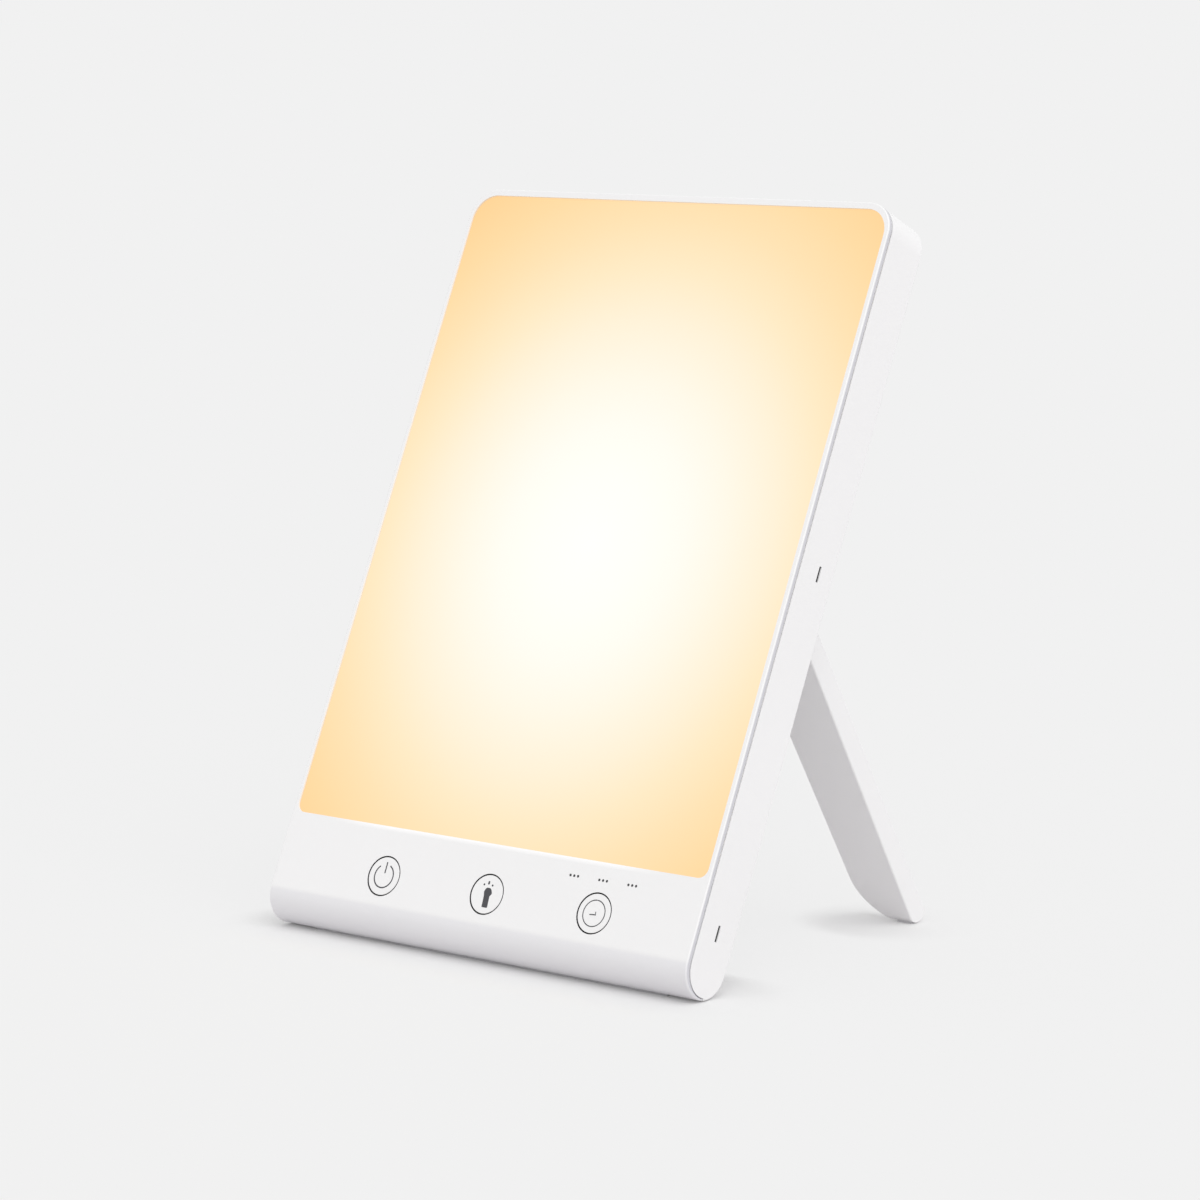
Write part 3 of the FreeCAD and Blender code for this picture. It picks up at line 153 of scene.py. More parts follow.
right = Vector((math.cos(CAMERA_AZIMUTH), math.sin(CAMERA_AZIMUTH), 0))
back = Vector((math.sin(CAMERA_AZIMUTH) * math.cos(CAMERA_ELEVATION),
               -math.cos(CAMERA_AZIMUTH) * math.cos(CAMERA_ELEVATION),
               math.sin(CAMERA_ELEVATION)))
up = back.cross(right)
camera_data = bpy.data.cameras.new("camera")
camera_data.sensor_width = SENSOR_MM
camera_data.lens = LENS_MM
camera_data.clip_end = FAR_CLIP
camera = bpy.data.objects.new("camera", camera_data)
camera_at = right * AIM_RIGHT + up * AIM_UP + back * CAMERA_DISTANCE
camera_turn = Matrix((right, up, back)).transposed().to_4x4()
camera.matrix_world = Matrix.Translation(camera_at) @ camera_turn
scene.collection.objects.link(camera)
scene.camera = camera

# ------------------------------------------------------- rear cover and stand
# The tray behind, and the fold-out stand: injection moulded ABS, white all
# through, from tools with a fine spark finish.


def finish(names, material):
    """Gives these pieces of the frame their finish."""
    for name in names:
        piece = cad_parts[name]
        piece.data.materials.clear()
        piece.data.materials.append(material)


CASE_WHITE = "#F3F3F3"
CASE_SHADE = "#F0F0F0"
FLOW_MARK = 0.07
SPARK_GRAIN = 0.00025

# Moulded ABS: a broad soft highlight, broken up by the grain of the tool.
white_moulded_abs = new_material("white_moulded_abs")
abs_tree = white_moulded_abs.node_tree
where = add_node(abs_tree, "ShaderNodeTexCoord")
flow = add_node(abs_tree, "ShaderNodeTexNoise", {"Scale": 1 / FLOW_MARK, "Detail": 3.0},
                {"Vector": where.outputs["Object"]})
tint = add_node(abs_tree, "ShaderNodeMix", {"data_type": "RGBA", 6: srgb(CASE_WHITE),
                                            7: srgb(CASE_SHADE)},
                {0: flow.outputs[0]})
grain = add_node(abs_tree, "ShaderNodeTexNoise", {"Scale": 1 / SPARK_GRAIN, "Detail": 2.0},
                 {"Vector": where.outputs["Object"]})
bump = add_node(abs_tree, "ShaderNodeBump", {"Strength": 0.04, "Distance": 0.00002},
                {"Height": grain.outputs[0]})
rough = add_node(abs_tree, "ShaderNodeMapRange", {"To Min": 0.36, "To Max": 0.44},
                 {"Value": grain.outputs[0]})
plastic = add_node(abs_tree, "ShaderNodeBsdfPrincipled", {"IOR": 1.53},
                   {"Base Color": tint.outputs[2], "Roughness": rough.outputs[0],
                    "Normal": bump.outputs[0]})
add_node(abs_tree, "ShaderNodeOutputMaterial", links={"Surface": plastic.outputs[0]})
finish(["rear_cover", "stand_frame"], white_moulded_abs)

# ---------------------------------------------------------------- front sheet
# The front, the frame round the panel and the chin, of the same white ABS, with
# painted shade: dark grey in the key holes, where the gaps round the keys lie in
# shade, and greyer on the chin's underside and by the seam. Under the panel a white
# line is painted on as a glow, a painted highlight of the panel's light on the frame.

FACE_TILT = math.radians(25)
CHIN_LIFT = 0.0093


def case_coordinates(tree, x, z):
    """Coordinates on the leaning case, from a point on the middle of its thickness."""
    where = add_node(tree, "ShaderNodeTexCoord")
    upright = add_node(tree, "ShaderNodeMapping",
                       {"Rotation": (FACE_TILT, 0, 0),
                        "Location": (-x, CHIN_LIFT * math.sin(FACE_TILT),
                                     -CHIN_LIFT * math.cos(FACE_TILT) - z)},
                       {"Vector": where.outputs["Object"]})
    return upright.outputs[0]


# The painted glow line: its middle, where it fades along and across, and its light.
LINE_AT = (0.0005, 0.0224)
LINE_FADES_ALONG = (0.045, 0.062)
LINE_FADES_ACROSS = (0.00035, 0.00145)
PAINTED_LINE_GLOW = 0.115

# The row of keys, and where the painted shades of the sheet start and are full: the
# chin's by height, the rim's and the key holes' by distance from the chin's axis.
MIDDLE_KEY_X = 0.003
KEY_PITCH = 0.039
KEY_HEIGHT = 0.0079
KEY_HOLE = 0.0062
KEY_ROW = 1.5 * KEY_PITCH
PAINTED_CHIN_SHADE = "#EAEAEC"
CHIN_FADE = (-0.0003, -0.0013)
PAINTED_SEAM_SHADE = "#CFCFD4"
RIM_FADE = (0.0088, 0.0083)
PAINTED_GAP_SHADE = "#3C3C40"
GAP_SHADE_FRONT = 0.0089

# The same ABS, with a painted glow along the line under the panel, and painted
# shade: greyer on the chin's underside and on the rim by the seam, dark grey in the key holes.
abs_with_painted_glow_and_shade = white_moulded_abs.copy()
abs_with_painted_glow_and_shade.name = "abs_with_painted_glow_and_shade"
abs_tree = abs_with_painted_glow_and_shade.node_tree
away = add_node(abs_tree, "ShaderNodeVectorMath", {"operation": "ABSOLUTE"},
                {0: case_coordinates(abs_tree, *LINE_AT)})
away = add_node(abs_tree, "ShaderNodeSeparateXYZ", links={0: away.outputs[0]})
across = add_node(abs_tree, "ShaderNodeMapRange",
                  {"From Min": LINE_FADES_ACROSS[0], "From Max": LINE_FADES_ACROSS[1],
                   "To Min": PAINTED_LINE_GLOW, "To Max": 0.0},
                  {"Value": away.outputs["Z"]})
along = add_node(abs_tree, "ShaderNodeMapRange",
                 {"From Min": LINE_FADES_ALONG[0], "From Max": LINE_FADES_ALONG[1],
                  "To Min": 1.0, "To Max": 0.0},
                 {"Value": away.outputs["X"]})
# Painted glow: the white line under the panel, full across its middle and fading along it.
painted_glow = add_node(abs_tree, "ShaderNodeMath", {"operation": "MULTIPLY"},
                {0: across.outputs[0], 1: along.outputs[0]})
split = add_node(abs_tree, "ShaderNodeSeparateXYZ",
                 links={0: case_coordinates(abs_tree, MIDDLE_KEY_X, 0)})
below = add_node(abs_tree, "ShaderNodeMath", {"operation": "MINIMUM", 1: 0.0},
                 {0: split.outputs["Z"]})
chin_way = add_node(abs_tree, "ShaderNodeCombineXYZ",
                    links={"Y": split.outputs["Y"], "Z": below.outputs[0]})
from_axis = add_node(abs_tree, "ShaderNodeVectorMath", {"operation": "LENGTH"},
                     {0: chin_way.outputs[0]})
# Painted shade on the rim of the sheet by the seam, where the groove lies in shade.
rim = add_node(abs_tree, "ShaderNodeMapRange",
               {"From Min": RIM_FADE[0], "From Max": RIM_FADE[1]},
               {"Value": from_axis.outputs["Value"]})
# Painted shade: the chin is painted greyer below where it starts, darker towards the bottom.
chin = add_node(abs_tree, "ShaderNodeMapRange",
                {"From Min": CHIN_FADE[0], "From Max": CHIN_FADE[1]},
                {"Value": split.outputs["Z"]})
key_x = add_node(abs_tree, "ShaderNodeMath",
                 {"operation": "WRAP", 1: KEY_PITCH / 2, 2: -KEY_PITCH / 2},
                 {0: split.outputs["X"]})
key_z = add_node(abs_tree, "ShaderNodeMath", {"operation": "SUBTRACT", 1: KEY_HEIGHT},
                 {0: split.outputs["Z"]})
key_way = add_node(abs_tree, "ShaderNodeCombineXYZ",
                   links={"X": key_x.outputs[0], "Z": key_z.outputs[0]})
key_reach = add_node(abs_tree, "ShaderNodeVectorMath", {"operation": "LENGTH"},
                     {0: key_way.outputs[0]})
# Painted shade: the walls of the key holes, behind the front face, are dark grey for the shade
# in the gaps.
at_key = add_node(abs_tree, "ShaderNodeMath", {"operation": "LESS_THAN", 1: KEY_HOLE},
                  {0: key_reach.outputs["Value"]})
below_face = add_node(abs_tree, "ShaderNodeMath", {"operation": "LESS_THAN", 1: GAP_SHADE_FRONT},
                      {0: from_axis.outputs["Value"]})
in_row = add_node(abs_tree, "ShaderNodeMath", {"operation": "COMPARE", 1: 0.0, 2: KEY_ROW},
                  {0: split.outputs["X"]})
in_hole = add_node(abs_tree, "ShaderNodeMath", {"operation": "MULTIPLY"},
                   {0: at_key.outputs[0], 1: below_face.outputs[0]})
in_hole = add_node(abs_tree, "ShaderNodeMath", {"operation": "MULTIPLY"},
                   {0: in_hole.outputs[0], 1: in_row.outputs[0]})
plastic = abs_tree.nodes["Principled BSDF"]
colour = plastic.inputs["Base Color"].links[0].from_socket
# Paints the shades in: the chin's underside, the rim by the seam and the key holes.
for shade, share in ((PAINTED_CHIN_SHADE, chin), (PAINTED_SEAM_SHADE, rim), (PAINTED_GAP_SHADE, in_hole)):
    shaded = add_node(abs_tree, "ShaderNodeMix", {"data_type": "RGBA", 7: srgb(shade)},
                      {0: share.outputs[0], 6: colour})
    colour = shaded.outputs[2]
abs_tree.links.new(colour, plastic.inputs["Base Color"])
# The painted glow line is emitted from the sheet itself, though the sheet is no lamp.
plastic.inputs["Emission Color"].default_value = srgb("#FFFFFF")
abs_tree.links.new(painted_glow.outputs[0], plastic.inputs["Emission Strength"])
finish(["front_shell"], abs_with_painted_glow_and_shade)

# --------------------------------------------------------------- slot shade plugs
# Four small plugs of black open foam, set in the slots in the case's sides just below
# the surface: painted shade, dark pieces put where the slots lie in deep shade.

SLOT_PLACES = [("upper", 0.0019, 0.1136), ("lower", 0.0008, 0.0098)]
SLOT_WIDTH = 0.001
SLOT_LENGTH = 0.0046
SHADE_PLUG_PLAY = 0.00003
SHADE_PLUG_LENGTH = 0.0016
SHADE_PLUG_RECESS = 0.0003
SHADE_PLUG_EDGE = 0.00006
HALF_CASE = 0.0775
FOAM_PORE = 0.0001

# Open foam: black, a painted shade for the slots, with pores of 0.1 mm that break up any
# highlight.
black_shade_foam = new_material("black_shade_foam")
foam = black_shade_foam.node_tree
where = add_node(foam, "ShaderNodeTexCoord")
pores = add_node(foam, "ShaderNodeTexVoronoi", {"Scale": 1 / FOAM_PORE},
                 {"Vector": where.outputs["Object"]})
walls = add_node(foam, "ShaderNodeMix", {"data_type": "RGBA", 6: srgb("#0C0C0D"),
                                         7: srgb("#222224")}, {0: pores.outputs[0]})
bump = add_node(foam, "ShaderNodeBump", {"Strength": 0.8, "Distance": 0.00005},
                {"Height": pores.outputs[0]})
foam_surface = add_node(foam, "ShaderNodeBsdfPrincipled",
                        {"Roughness": 0.95, "IOR": 1.3},
                        {"Base Color": walls.outputs[2], "Normal": bump.outputs[0]})
add_node(foam, "ShaderNodeOutputMaterial", links={"Surface": foam_surface.outputs[0]})


def on_face(x, y, z):
    """A point of the leaning case, from the chin's middle, in the row frame."""
    return Vector((x, z * math.sin(FACE_TILT) + y * math.cos(FACE_TILT),
                   CHIN_LIFT + z * math.cos(FACE_TILT) - y * math.sin(FACE_TILT)))


def place_on_face(piece, x, y, z, turn=0.0):
    """Sets a piece on the leaning case and writes its place into its mesh."""
    bpy.ops.object.select_all(action="DESELECT")
    piece.select_set(True)
    bpy.context.view_layer.objects.active = piece
    piece.location = on_face(x, y, z)
    piece.rotation_euler = (turn - FACE_TILT, 0, 0)
    bpy.ops.object.transform_apply(location=True, rotation=True, scale=True)


# The dark plugs stand in for the shade inside the slots.
bpy.ops.object.select_all(action="DESELECT")
bpy.ops.mesh.primitive_cube_add(size=1, scale=(SHADE_PLUG_LENGTH, SLOT_WIDTH - 2 * SHADE_PLUG_PLAY,
                                               SLOT_LENGTH - 2 * SHADE_PLUG_PLAY))
first_shade_plug = bpy.context.active_object
bpy.ops.object.transform_apply(location=False, rotation=False, scale=True)
bpy.ops.object.mode_set(mode="EDIT")
bpy.ops.mesh.select_all(action="SELECT")
bpy.ops.mesh.bevel(offset=SHADE_PLUG_EDGE, segments=2)
bpy.ops.mesh.subdivide(number_cuts=2)
bpy.ops.object.mode_set(mode="OBJECT")
first_shade_plug.data.materials.append(black_shade_foam)
shade_plugs = [first_shade_plug]
while len(shade_plugs) < 2 * len(SLOT_PLACES):
    bpy.ops.object.select_all(action="DESELECT")
    first_shade_plug.select_set(True)
    bpy.context.view_layer.objects.active = first_shade_plug
    bpy.ops.object.duplicate(linked=False)
    shade_plugs.append(bpy.context.active_object)
for k, piece in enumerate(shade_plugs):
    height, slot_y, slot_z = SLOT_PLACES[k // 2]
    side, sign = (("left", -1), ("right", 1))[k % 2]
    piece.name = "slot_shade_plug_%s_%s" % (height, side)
    place_on_face(piece, sign * (HALF_CASE - SHADE_PLUG_RECESS - SHADE_PLUG_LENGTH / 2), slot_y, slot_z)
    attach(piece, "lamp")

# -------------------------------------------------------------------- chassis
# A tray folded from 0.8 mm aluminium sheet, as it comes from the mill. It
# carries the light guide and takes the heat of the LED boards.

STREAK_WIDTH = 0.00017
STREAK_LENGTH = 0.005

# Rolled aluminium: bright, with fine streaks along the rolling direction.
mill_aluminium = new_material("mill_aluminium")
mill = mill_aluminium.node_tree
where = add_node(mill, "ShaderNodeTexCoord")
rolled = add_node(mill, "ShaderNodeMapping",
                  {"Scale": (1 / STREAK_WIDTH, 1 / STREAK_LENGTH, 1 / STREAK_LENGTH)},
                  {"Vector": where.outputs["Object"]})
streaks = add_node(mill, "ShaderNodeTexNoise", {"Scale": 1.0, "Detail": 4.0},
                   {"Vector": rolled.outputs[0]})
sheen = add_node(mill, "ShaderNodeMix", {"data_type": "RGBA", 6: srgb("#C4C6C8"),
                                         7: srgb("#D6D7D8")}, {0: streaks.outputs[0]})
rough = add_node(mill, "ShaderNodeMapRange", {"To Min": 0.26, "To Max": 0.42},
                 {"Value": streaks.outputs[0]})
bump = add_node(mill, "ShaderNodeBump", {"Strength": 0.15, "Distance": 0.00001},
                {"Height": streaks.outputs[0]})
sheet_surface = add_node(mill, "ShaderNodeBsdfPrincipled", {"Metallic": 1.0},
                         {"Base Color": sheen.outputs[2], "Roughness": rough.outputs[0],
                          "Normal": bump.outputs[0]})
add_node(mill, "ShaderNodeOutputMaterial", links={"Surface": sheet_surface.outputs[0]})
finish(["chassis_plate"], mill_aluminium)

# -------------------------------------------------- reflector and guide rails
# A white polyester reflector behind the light guide, and two foam tape strips
# that hold the guide's ends. All are cut from white sheet.

FOAM_CELL = 0.0004

# Foamed polyester: chalk white, with a faint mottle of its tiny cells.
white_foamed_film = new_material("white_foamed_film")
film = white_foamed_film.node_tree
where = add_node(film, "ShaderNodeTexCoord")
cells = add_node(film, "ShaderNodeTexNoise", {"Scale": 1 / FOAM_CELL, "Detail": 3.0},
                 {"Vector": where.outputs["Object"]})
chalk = add_node(film, "ShaderNodeMix", {"data_type": "RGBA", 6: srgb("#F1F1EF"),
                                         7: srgb("#FAFAF8")}, {0: cells.outputs[0]})
bump = add_node(film, "ShaderNodeBump", {"Strength": 0.1, "Distance": 0.00002},
                {"Height": cells.outputs[0]})
film_surface = add_node(film, "ShaderNodeBsdfPrincipled", {"Roughness": 0.7, "IOR": 1.6},
                        {"Base Color": chalk.outputs[2], "Normal": bump.outputs[0]})
add_node(film, "ShaderNodeOutputMaterial", links={"Surface": film_surface.outputs[0]})
finish(["reflector_sheet", "guide_rails"], white_foamed_film)

# ----------------------------------------------------------------- LED boards
# Two narrow aluminium-core boards in white solder mask, 24 white LEDs on each.
# The boards are stuck to the chassis flanges, and the LEDs face inwards.

LACQUER_WAVE = 0.0011
PHOSPHOR_GRAIN = 0.00005

# White solder mask: a printed, glossy lacquer that pulls back a little.
white_solder_mask = new_material("white_solder_mask")
mask_tree = white_solder_mask.node_tree
where = add_node(mask_tree, "ShaderNodeTexCoord")
orange_peel = add_node(mask_tree, "ShaderNodeTexNoise",
                       {"Scale": 1 / LACQUER_WAVE, "Detail": 2.0},
                       {"Vector": where.outputs["Object"]})
lacquer = add_node(mask_tree, "ShaderNodeMix",
                   {"data_type": "RGBA", 6: srgb("#F3F2EC"), 7: srgb("#E9E8E0")},
                   {0: orange_peel.outputs[0]})
bump = add_node(mask_tree, "ShaderNodeBump", {"Strength": 0.2, "Distance": 0.00002},
                {"Height": orange_peel.outputs[0]})
mask_surface = add_node(mask_tree, "ShaderNodeBsdfPrincipled", {"Roughness": 0.3, "IOR": 1.55},
                        {"Base Color": lacquer.outputs[2], "Normal": bump.outputs[0]})
add_node(mask_tree, "ShaderNodeOutputMaterial", links={"Surface": mask_surface.outputs[0]})
finish(["led_board_left", "led_board_right"], white_solder_mask)

# LED phosphor: yellow powder in clear silicone, so a bit glossy, and grainy.
led_phosphor = new_material("led_phosphor")
powder_tree = led_phosphor.node_tree
where = add_node(powder_tree, "ShaderNodeTexCoord")
powder = add_node(powder_tree, "ShaderNodeTexNoise",
                  {"Scale": 1 / PHOSPHOR_GRAIN, "Detail": 2.0},
                  {"Vector": where.outputs["Object"]})
yellow = add_node(powder_tree, "ShaderNodeMix", {"data_type": "RGBA", 6: srgb("#F2D568"),
                                                 7: srgb("#F8E59A")}, {0: powder.outputs[0]})
gel = add_node(powder_tree, "ShaderNodeBsdfPrincipled",
               {"Roughness": 0.25, "IOR": 1.45}, {"Base Color": yellow.outputs[2]})
add_node(powder_tree, "ShaderNodeOutputMaterial", links={"Surface": gel.outputs[0]})
finish(["leds_left", "leds_right", "indicator_leds"], led_phosphor)

# ------------------------------------------------------------ the light guide
# A 3 mm sheet of clear acrylic with polished edges. A pattern of tiny laser
# dots on its back lets the light of the LEDs out evenly.

DOT_CELL = 0.0012
DOT_EDGE = (0.2, 0.3)

# Polished acrylic: clear as water, frosted in the laser dots.
polished_acrylic = new_material("polished_acrylic")
clear = polished_acrylic.node_tree
where = add_node(clear, "ShaderNodeTexCoord")
dots = add_node(clear, "ShaderNodeTexVoronoi", {"Scale": 1 / DOT_CELL, "Randomness": 0.3},
                {"Vector": where.outputs["Object"]})
frost = add_node(clear, "ShaderNodeMapRange",
                 {"From Min": DOT_EDGE[0], "From Max": DOT_EDGE[1],
                  "To Min": 0.5, "To Max": 0.03},
                 {"Value": dots.outputs[0]})
guide_surface = add_node(clear, "ShaderNodeBsdfPrincipled",
                         {"Base Color": srgb("#F4FAFA"), "IOR": 1.49,
                          "Transmission Weight": 1.0}, {"Roughness": frost.outputs[0]})
add_node(clear, "ShaderNodeOutputMaterial", links={"Surface": guide_surface.outputs[0]})
finish(["light_guide"], polished_acrylic)

# ------------------------------------------------------------- the prism film
# A quarter millimetre of clear polyester with fine prisms across the front. It
# lies loose between the guide and the opal sheet, and turns the light forwards.

PRISM_PITCH = 0.00005

# Prism film: clear, with ridges 0.05 mm apart that give it a silky gleam.
prism_polyester = new_material("prism_polyester")
ridge_tree = prism_polyester.node_tree
where = add_node(ridge_tree, "ShaderNodeTexCoord")
ridges = add_node(ridge_tree, "ShaderNodeTexWave",
                  {"wave_type": "BANDS", "bands_direction": "X", "wave_profile": "TRI",
                   "Scale": math.pi / (10 * PRISM_PITCH)},
                  {"Vector": where.outputs["Object"]})
bump = add_node(ridge_tree, "ShaderNodeBump", {"Strength": 0.6, "Distance": 0.00002},
                {"Height": ridges.outputs[1]})
ridge_surface = add_node(ridge_tree, "ShaderNodeBsdfPrincipled",
                         {"Base Color": srgb("#F7F8F8"), "Roughness": 0.12, "IOR": 1.6,
                          "Transmission Weight": 0.9}, {"Normal": bump.outputs[0]})
add_node(ridge_tree, "ShaderNodeOutputMaterial", links={"Surface": ridge_surface.outputs[0]})
finish(["prism_film"], prism_polyester)

# ------------------------------------------------------------------ the panel
# Opal acrylic sheet, cut with rounded corners and held behind the frame. Lit
# from behind: almost white in the middle, amber towards the corners.

GLOW_CENTRE = (0.004, 0.113)
GLOW_REACH = 0.132
GLOW_NARROW = 1.1
GLOW = [(0.00, "#FFFCF8"), (0.15, "#FFFCF4"), (0.27, "#FFF8EE"), (0.38, "#FFF4E4"),
        (0.52, "#FFEDD3"), (0.64, "#FFE6C0"), (0.76, "#FFDEAE"), (0.88, "#FFD79E"),
        (1.00, "#FFD091")]

# Lit opal acrylic: an even glow whose colour warms with the way from the middle.
lit_opal_acrylic = new_material("lit_opal_acrylic")
opal = lit_opal_acrylic.node_tree
flat = add_node(opal, "ShaderNodeVectorMath", {"operation": "MULTIPLY", 1: (GLOW_NARROW, 0, 1)},
                {0: case_coordinates(opal, *GLOW_CENTRE)})
reach = add_node(opal, "ShaderNodeVectorMath", {"operation": "LENGTH"}, {0: flat.outputs[0]})
share = add_node(opal, "ShaderNodeMath", {"operation": "DIVIDE", 1: GLOW_REACH},
                 {0: reach.outputs["Value"]})
glow = add_node(opal, "ShaderNodeValToRGB", links={"Fac": share.outputs[0]})
ramp = glow.color_ramp
while len(ramp.elements) < len(GLOW):
    ramp.elements.new(1.0)
for element, (position, code) in zip(ramp.elements, GLOW):
    element.position = position
    element.color = srgb(code)
opal_surface = add_node(opal, "ShaderNodeBsdfPrincipled",
                        {"Base Color": srgb("#1E1A14"), "Roughness": 0.5, "IOR": 1.49,
                         "Emission Strength": 1.0},
                        {"Emission Color": glow.outputs[0]})
add_node(opal, "ShaderNodeOutputMaterial", links={"Surface": opal_surface.outputs[0]})
finish(["diffuser_panel"], lit_opal_acrylic)

# ---------------------------------------------------------- the control board
# Glass-epoxy board under green solder mask, screwed to the front sheet's
# bosses. It carries the three key switches, the indicators and the LED driver.

TRACK_PITCH = 0.0012
GLASS_FILLER = 0.00008
NYLON_CLOUD = 0.002

# Green solder mask: glossy, paler where it runs over the copper tracks.
green_solder_mask = new_material("green_solder_mask")
green = green_solder_mask.node_tree
where = add_node(green, "ShaderNodeTexCoord")
tracks = add_node(green, "ShaderNodeTexBrick",
                  {"Scale": 1 / TRACK_PITCH, "Mortar Size": 0.12, "Mortar Smooth": 0.2,
                   "Brick Width": 7.0, "Row Height": 1.0, "Color1": srgb("#0F4A2C"),
                   "Color2": srgb("#11502F"), "Mortar": srgb("#1E6E44")},
                  {"Vector": where.outputs["Object"]})
bump = add_node(green, "ShaderNodeBump", {"Strength": 0.3, "Distance": 0.00004},
                {"Height": tracks.outputs[1]})
green_surface = add_node(green, "ShaderNodeBsdfPrincipled", {"Roughness": 0.28, "IOR": 1.55},
                         {"Base Color": tracks.outputs[0], "Normal": bump.outputs[0]})
add_node(green, "ShaderNodeOutputMaterial", links={"Surface": green_surface.outputs[0]})
finish(["control_board"], green_solder_mask)

# Moulded black epoxy: matt, with the speckle of its glass filler.
black_epoxy = new_material("black_epoxy")
epoxy = black_epoxy.node_tree
where = add_node(epoxy, "ShaderNodeTexCoord")
filler = add_node(epoxy, "ShaderNodeTexNoise", {"Scale": 1 / GLASS_FILLER, "Detail": 3.0},
                  {"Vector": where.outputs["Object"]})
specks = add_node(epoxy, "ShaderNodeMix", {"data_type": "RGBA", 6: srgb("#18181A"),
                                           7: srgb("#2C2C2F")}, {0: filler.outputs[0]})
rough = add_node(epoxy, "ShaderNodeMapRange", {"To Min": 0.5, "To Max": 0.75},
                 {"Value": filler.outputs[0]})
epoxy_surface = add_node(epoxy, "ShaderNodeBsdfPrincipled", {"IOR": 1.55},
                         {"Base Color": specks.outputs[2], "Roughness": rough.outputs[0]})
add_node(epoxy, "ShaderNodeOutputMaterial", links={"Surface": epoxy_surface.outputs[0]})
finish(["board_components", "tact_switches"], black_epoxy)

# Natural nylon: cream, slightly cloudy where it took up moisture.
natural_nylon = new_material("natural_nylon")
nylon = natural_nylon.node_tree
where = add_node(nylon, "ShaderNodeTexCoord")
clouds = add_node(nylon, "ShaderNodeTexNoise", {"Scale": 1 / NYLON_CLOUD, "Detail": 3.0},
                  {"Vector": where.outputs["Object"]})
cream = add_node(nylon, "ShaderNodeMix", {"data_type": "RGBA", 6: srgb("#EFE9D8"),
                                          7: srgb("#DFD8C4")}, {0: clouds.outputs[0]})
nylon_surface = add_node(nylon, "ShaderNodeBsdfPrincipled",
                         {"Roughness": 0.45, "IOR": 1.53}, {"Base Color": cream.outputs[2]})
add_node(nylon, "ShaderNodeOutputMaterial", links={"Surface": nylon_surface.outputs[0]})
finish(["board_connectors"], natural_nylon)

# ------------------------------------------------------------------- the keys
# Three round push caps of the case's white ABS, from a tool that is polished a
# little finer. Each cap presses the white acetal plunger of its switch.

KEY_GRAIN = 0.00017
KEY_SHADE = "#F1F1F1"
KEY_GAP_SHADE_FROM = -0.00885
ACETAL_CLOUD = 0.00125

# Key ABS: the white of the case, a touch smoother, so that it looks crisp. The
# sides, below the rounded rim, get the same painted shade as the holes, for the gap.
white_key_abs = new_material("white_key_abs")
key_tree = white_key_abs.node_tree
where = add_node(key_tree, "ShaderNodeTexCoord")
grain = add_node(key_tree, "ShaderNodeTexNoise", {"Scale": 1 / KEY_GRAIN, "Detail": 2.0},
                 {"Vector": where.outputs["Object"]})
tint = add_node(key_tree, "ShaderNodeMix", {"data_type": "RGBA", 6: srgb(CASE_WHITE),
                                            7: srgb(KEY_SHADE)}, {0: grain.outputs[0]})
rough = add_node(key_tree, "ShaderNodeMapRange", {"To Min": 0.30, "To Max": 0.38},
                 {"Value": grain.outputs[0]})
split = add_node(key_tree, "ShaderNodeSeparateXYZ",
                 links={0: case_coordinates(key_tree, 0, 0)})
# Painted shade: the cap's sides are dark grey, where the gap round the cap lies in shade.
side = add_node(key_tree, "ShaderNodeMath", {"operation": "GREATER_THAN", 1: KEY_GAP_SHADE_FROM},
                {0: split.outputs["Y"]})
painted = add_node(key_tree, "ShaderNodeMix", {"data_type": "RGBA", 7: srgb(PAINTED_GAP_SHADE)},
                   {0: side.outputs[0], 6: tint.outputs[2]})
key_surface = add_node(key_tree, "ShaderNodeBsdfPrincipled", {"IOR": 1.53},
                       {"Base Color": painted.outputs[2], "Roughness": rough.outputs[0]})
add_node(key_tree, "ShaderNodeOutputMaterial", links={"Surface": key_surface.outputs[0]})
finish(["power_button", "torch_button", "timer_button"], white_key_abs)

# Acetal: milky white and waxy, from a little scatter under its surface.
white_acetal = new_material("white_acetal")
acetal = white_acetal.node_tree
where = add_node(acetal, "ShaderNodeTexCoord")
milk = add_node(acetal, "ShaderNodeTexNoise", {"Scale": 1 / ACETAL_CLOUD, "Detail": 2.0},
                {"Vector": where.outputs["Object"]})
waxy = add_node(acetal, "ShaderNodeMix", {"data_type": "RGBA", 6: srgb("#EDECE8"),
                                          7: srgb("#E4E3DE")}, {0: milk.outputs[0]})
acetal_surface = add_node(acetal, "ShaderNodeBsdfPrincipled",
                          {"Roughness": 0.35, "IOR": 1.48, "Subsurface Weight": 0.2,
                           "Subsurface Scale": 0.0005}, {"Base Color": waxy.outputs[2]})
add_node(acetal, "ShaderNodeOutputMaterial", links={"Surface": acetal_surface.outputs[0]})
finish(["power_plunger", "torch_plunger", "timer_plunger"], white_acetal)

# -------------------------------------------------------- the printed symbols
# A power sign, a torch and a clock in dark grey ink, pad printed on the caps: a
# film of ink some hundredths of a millimetre thick. Each moves with its cap.

INK_FILM = 0.00002
INK_MOTTLE = 0.00033
CAP_FRONT = -0.009
CAP_AT = {"power": MIDDLE_KEY_X - KEY_PITCH, "torch": MIDDLE_KEY_X,
          "timer": MIDDLE_KEY_X + KEY_PITCH}

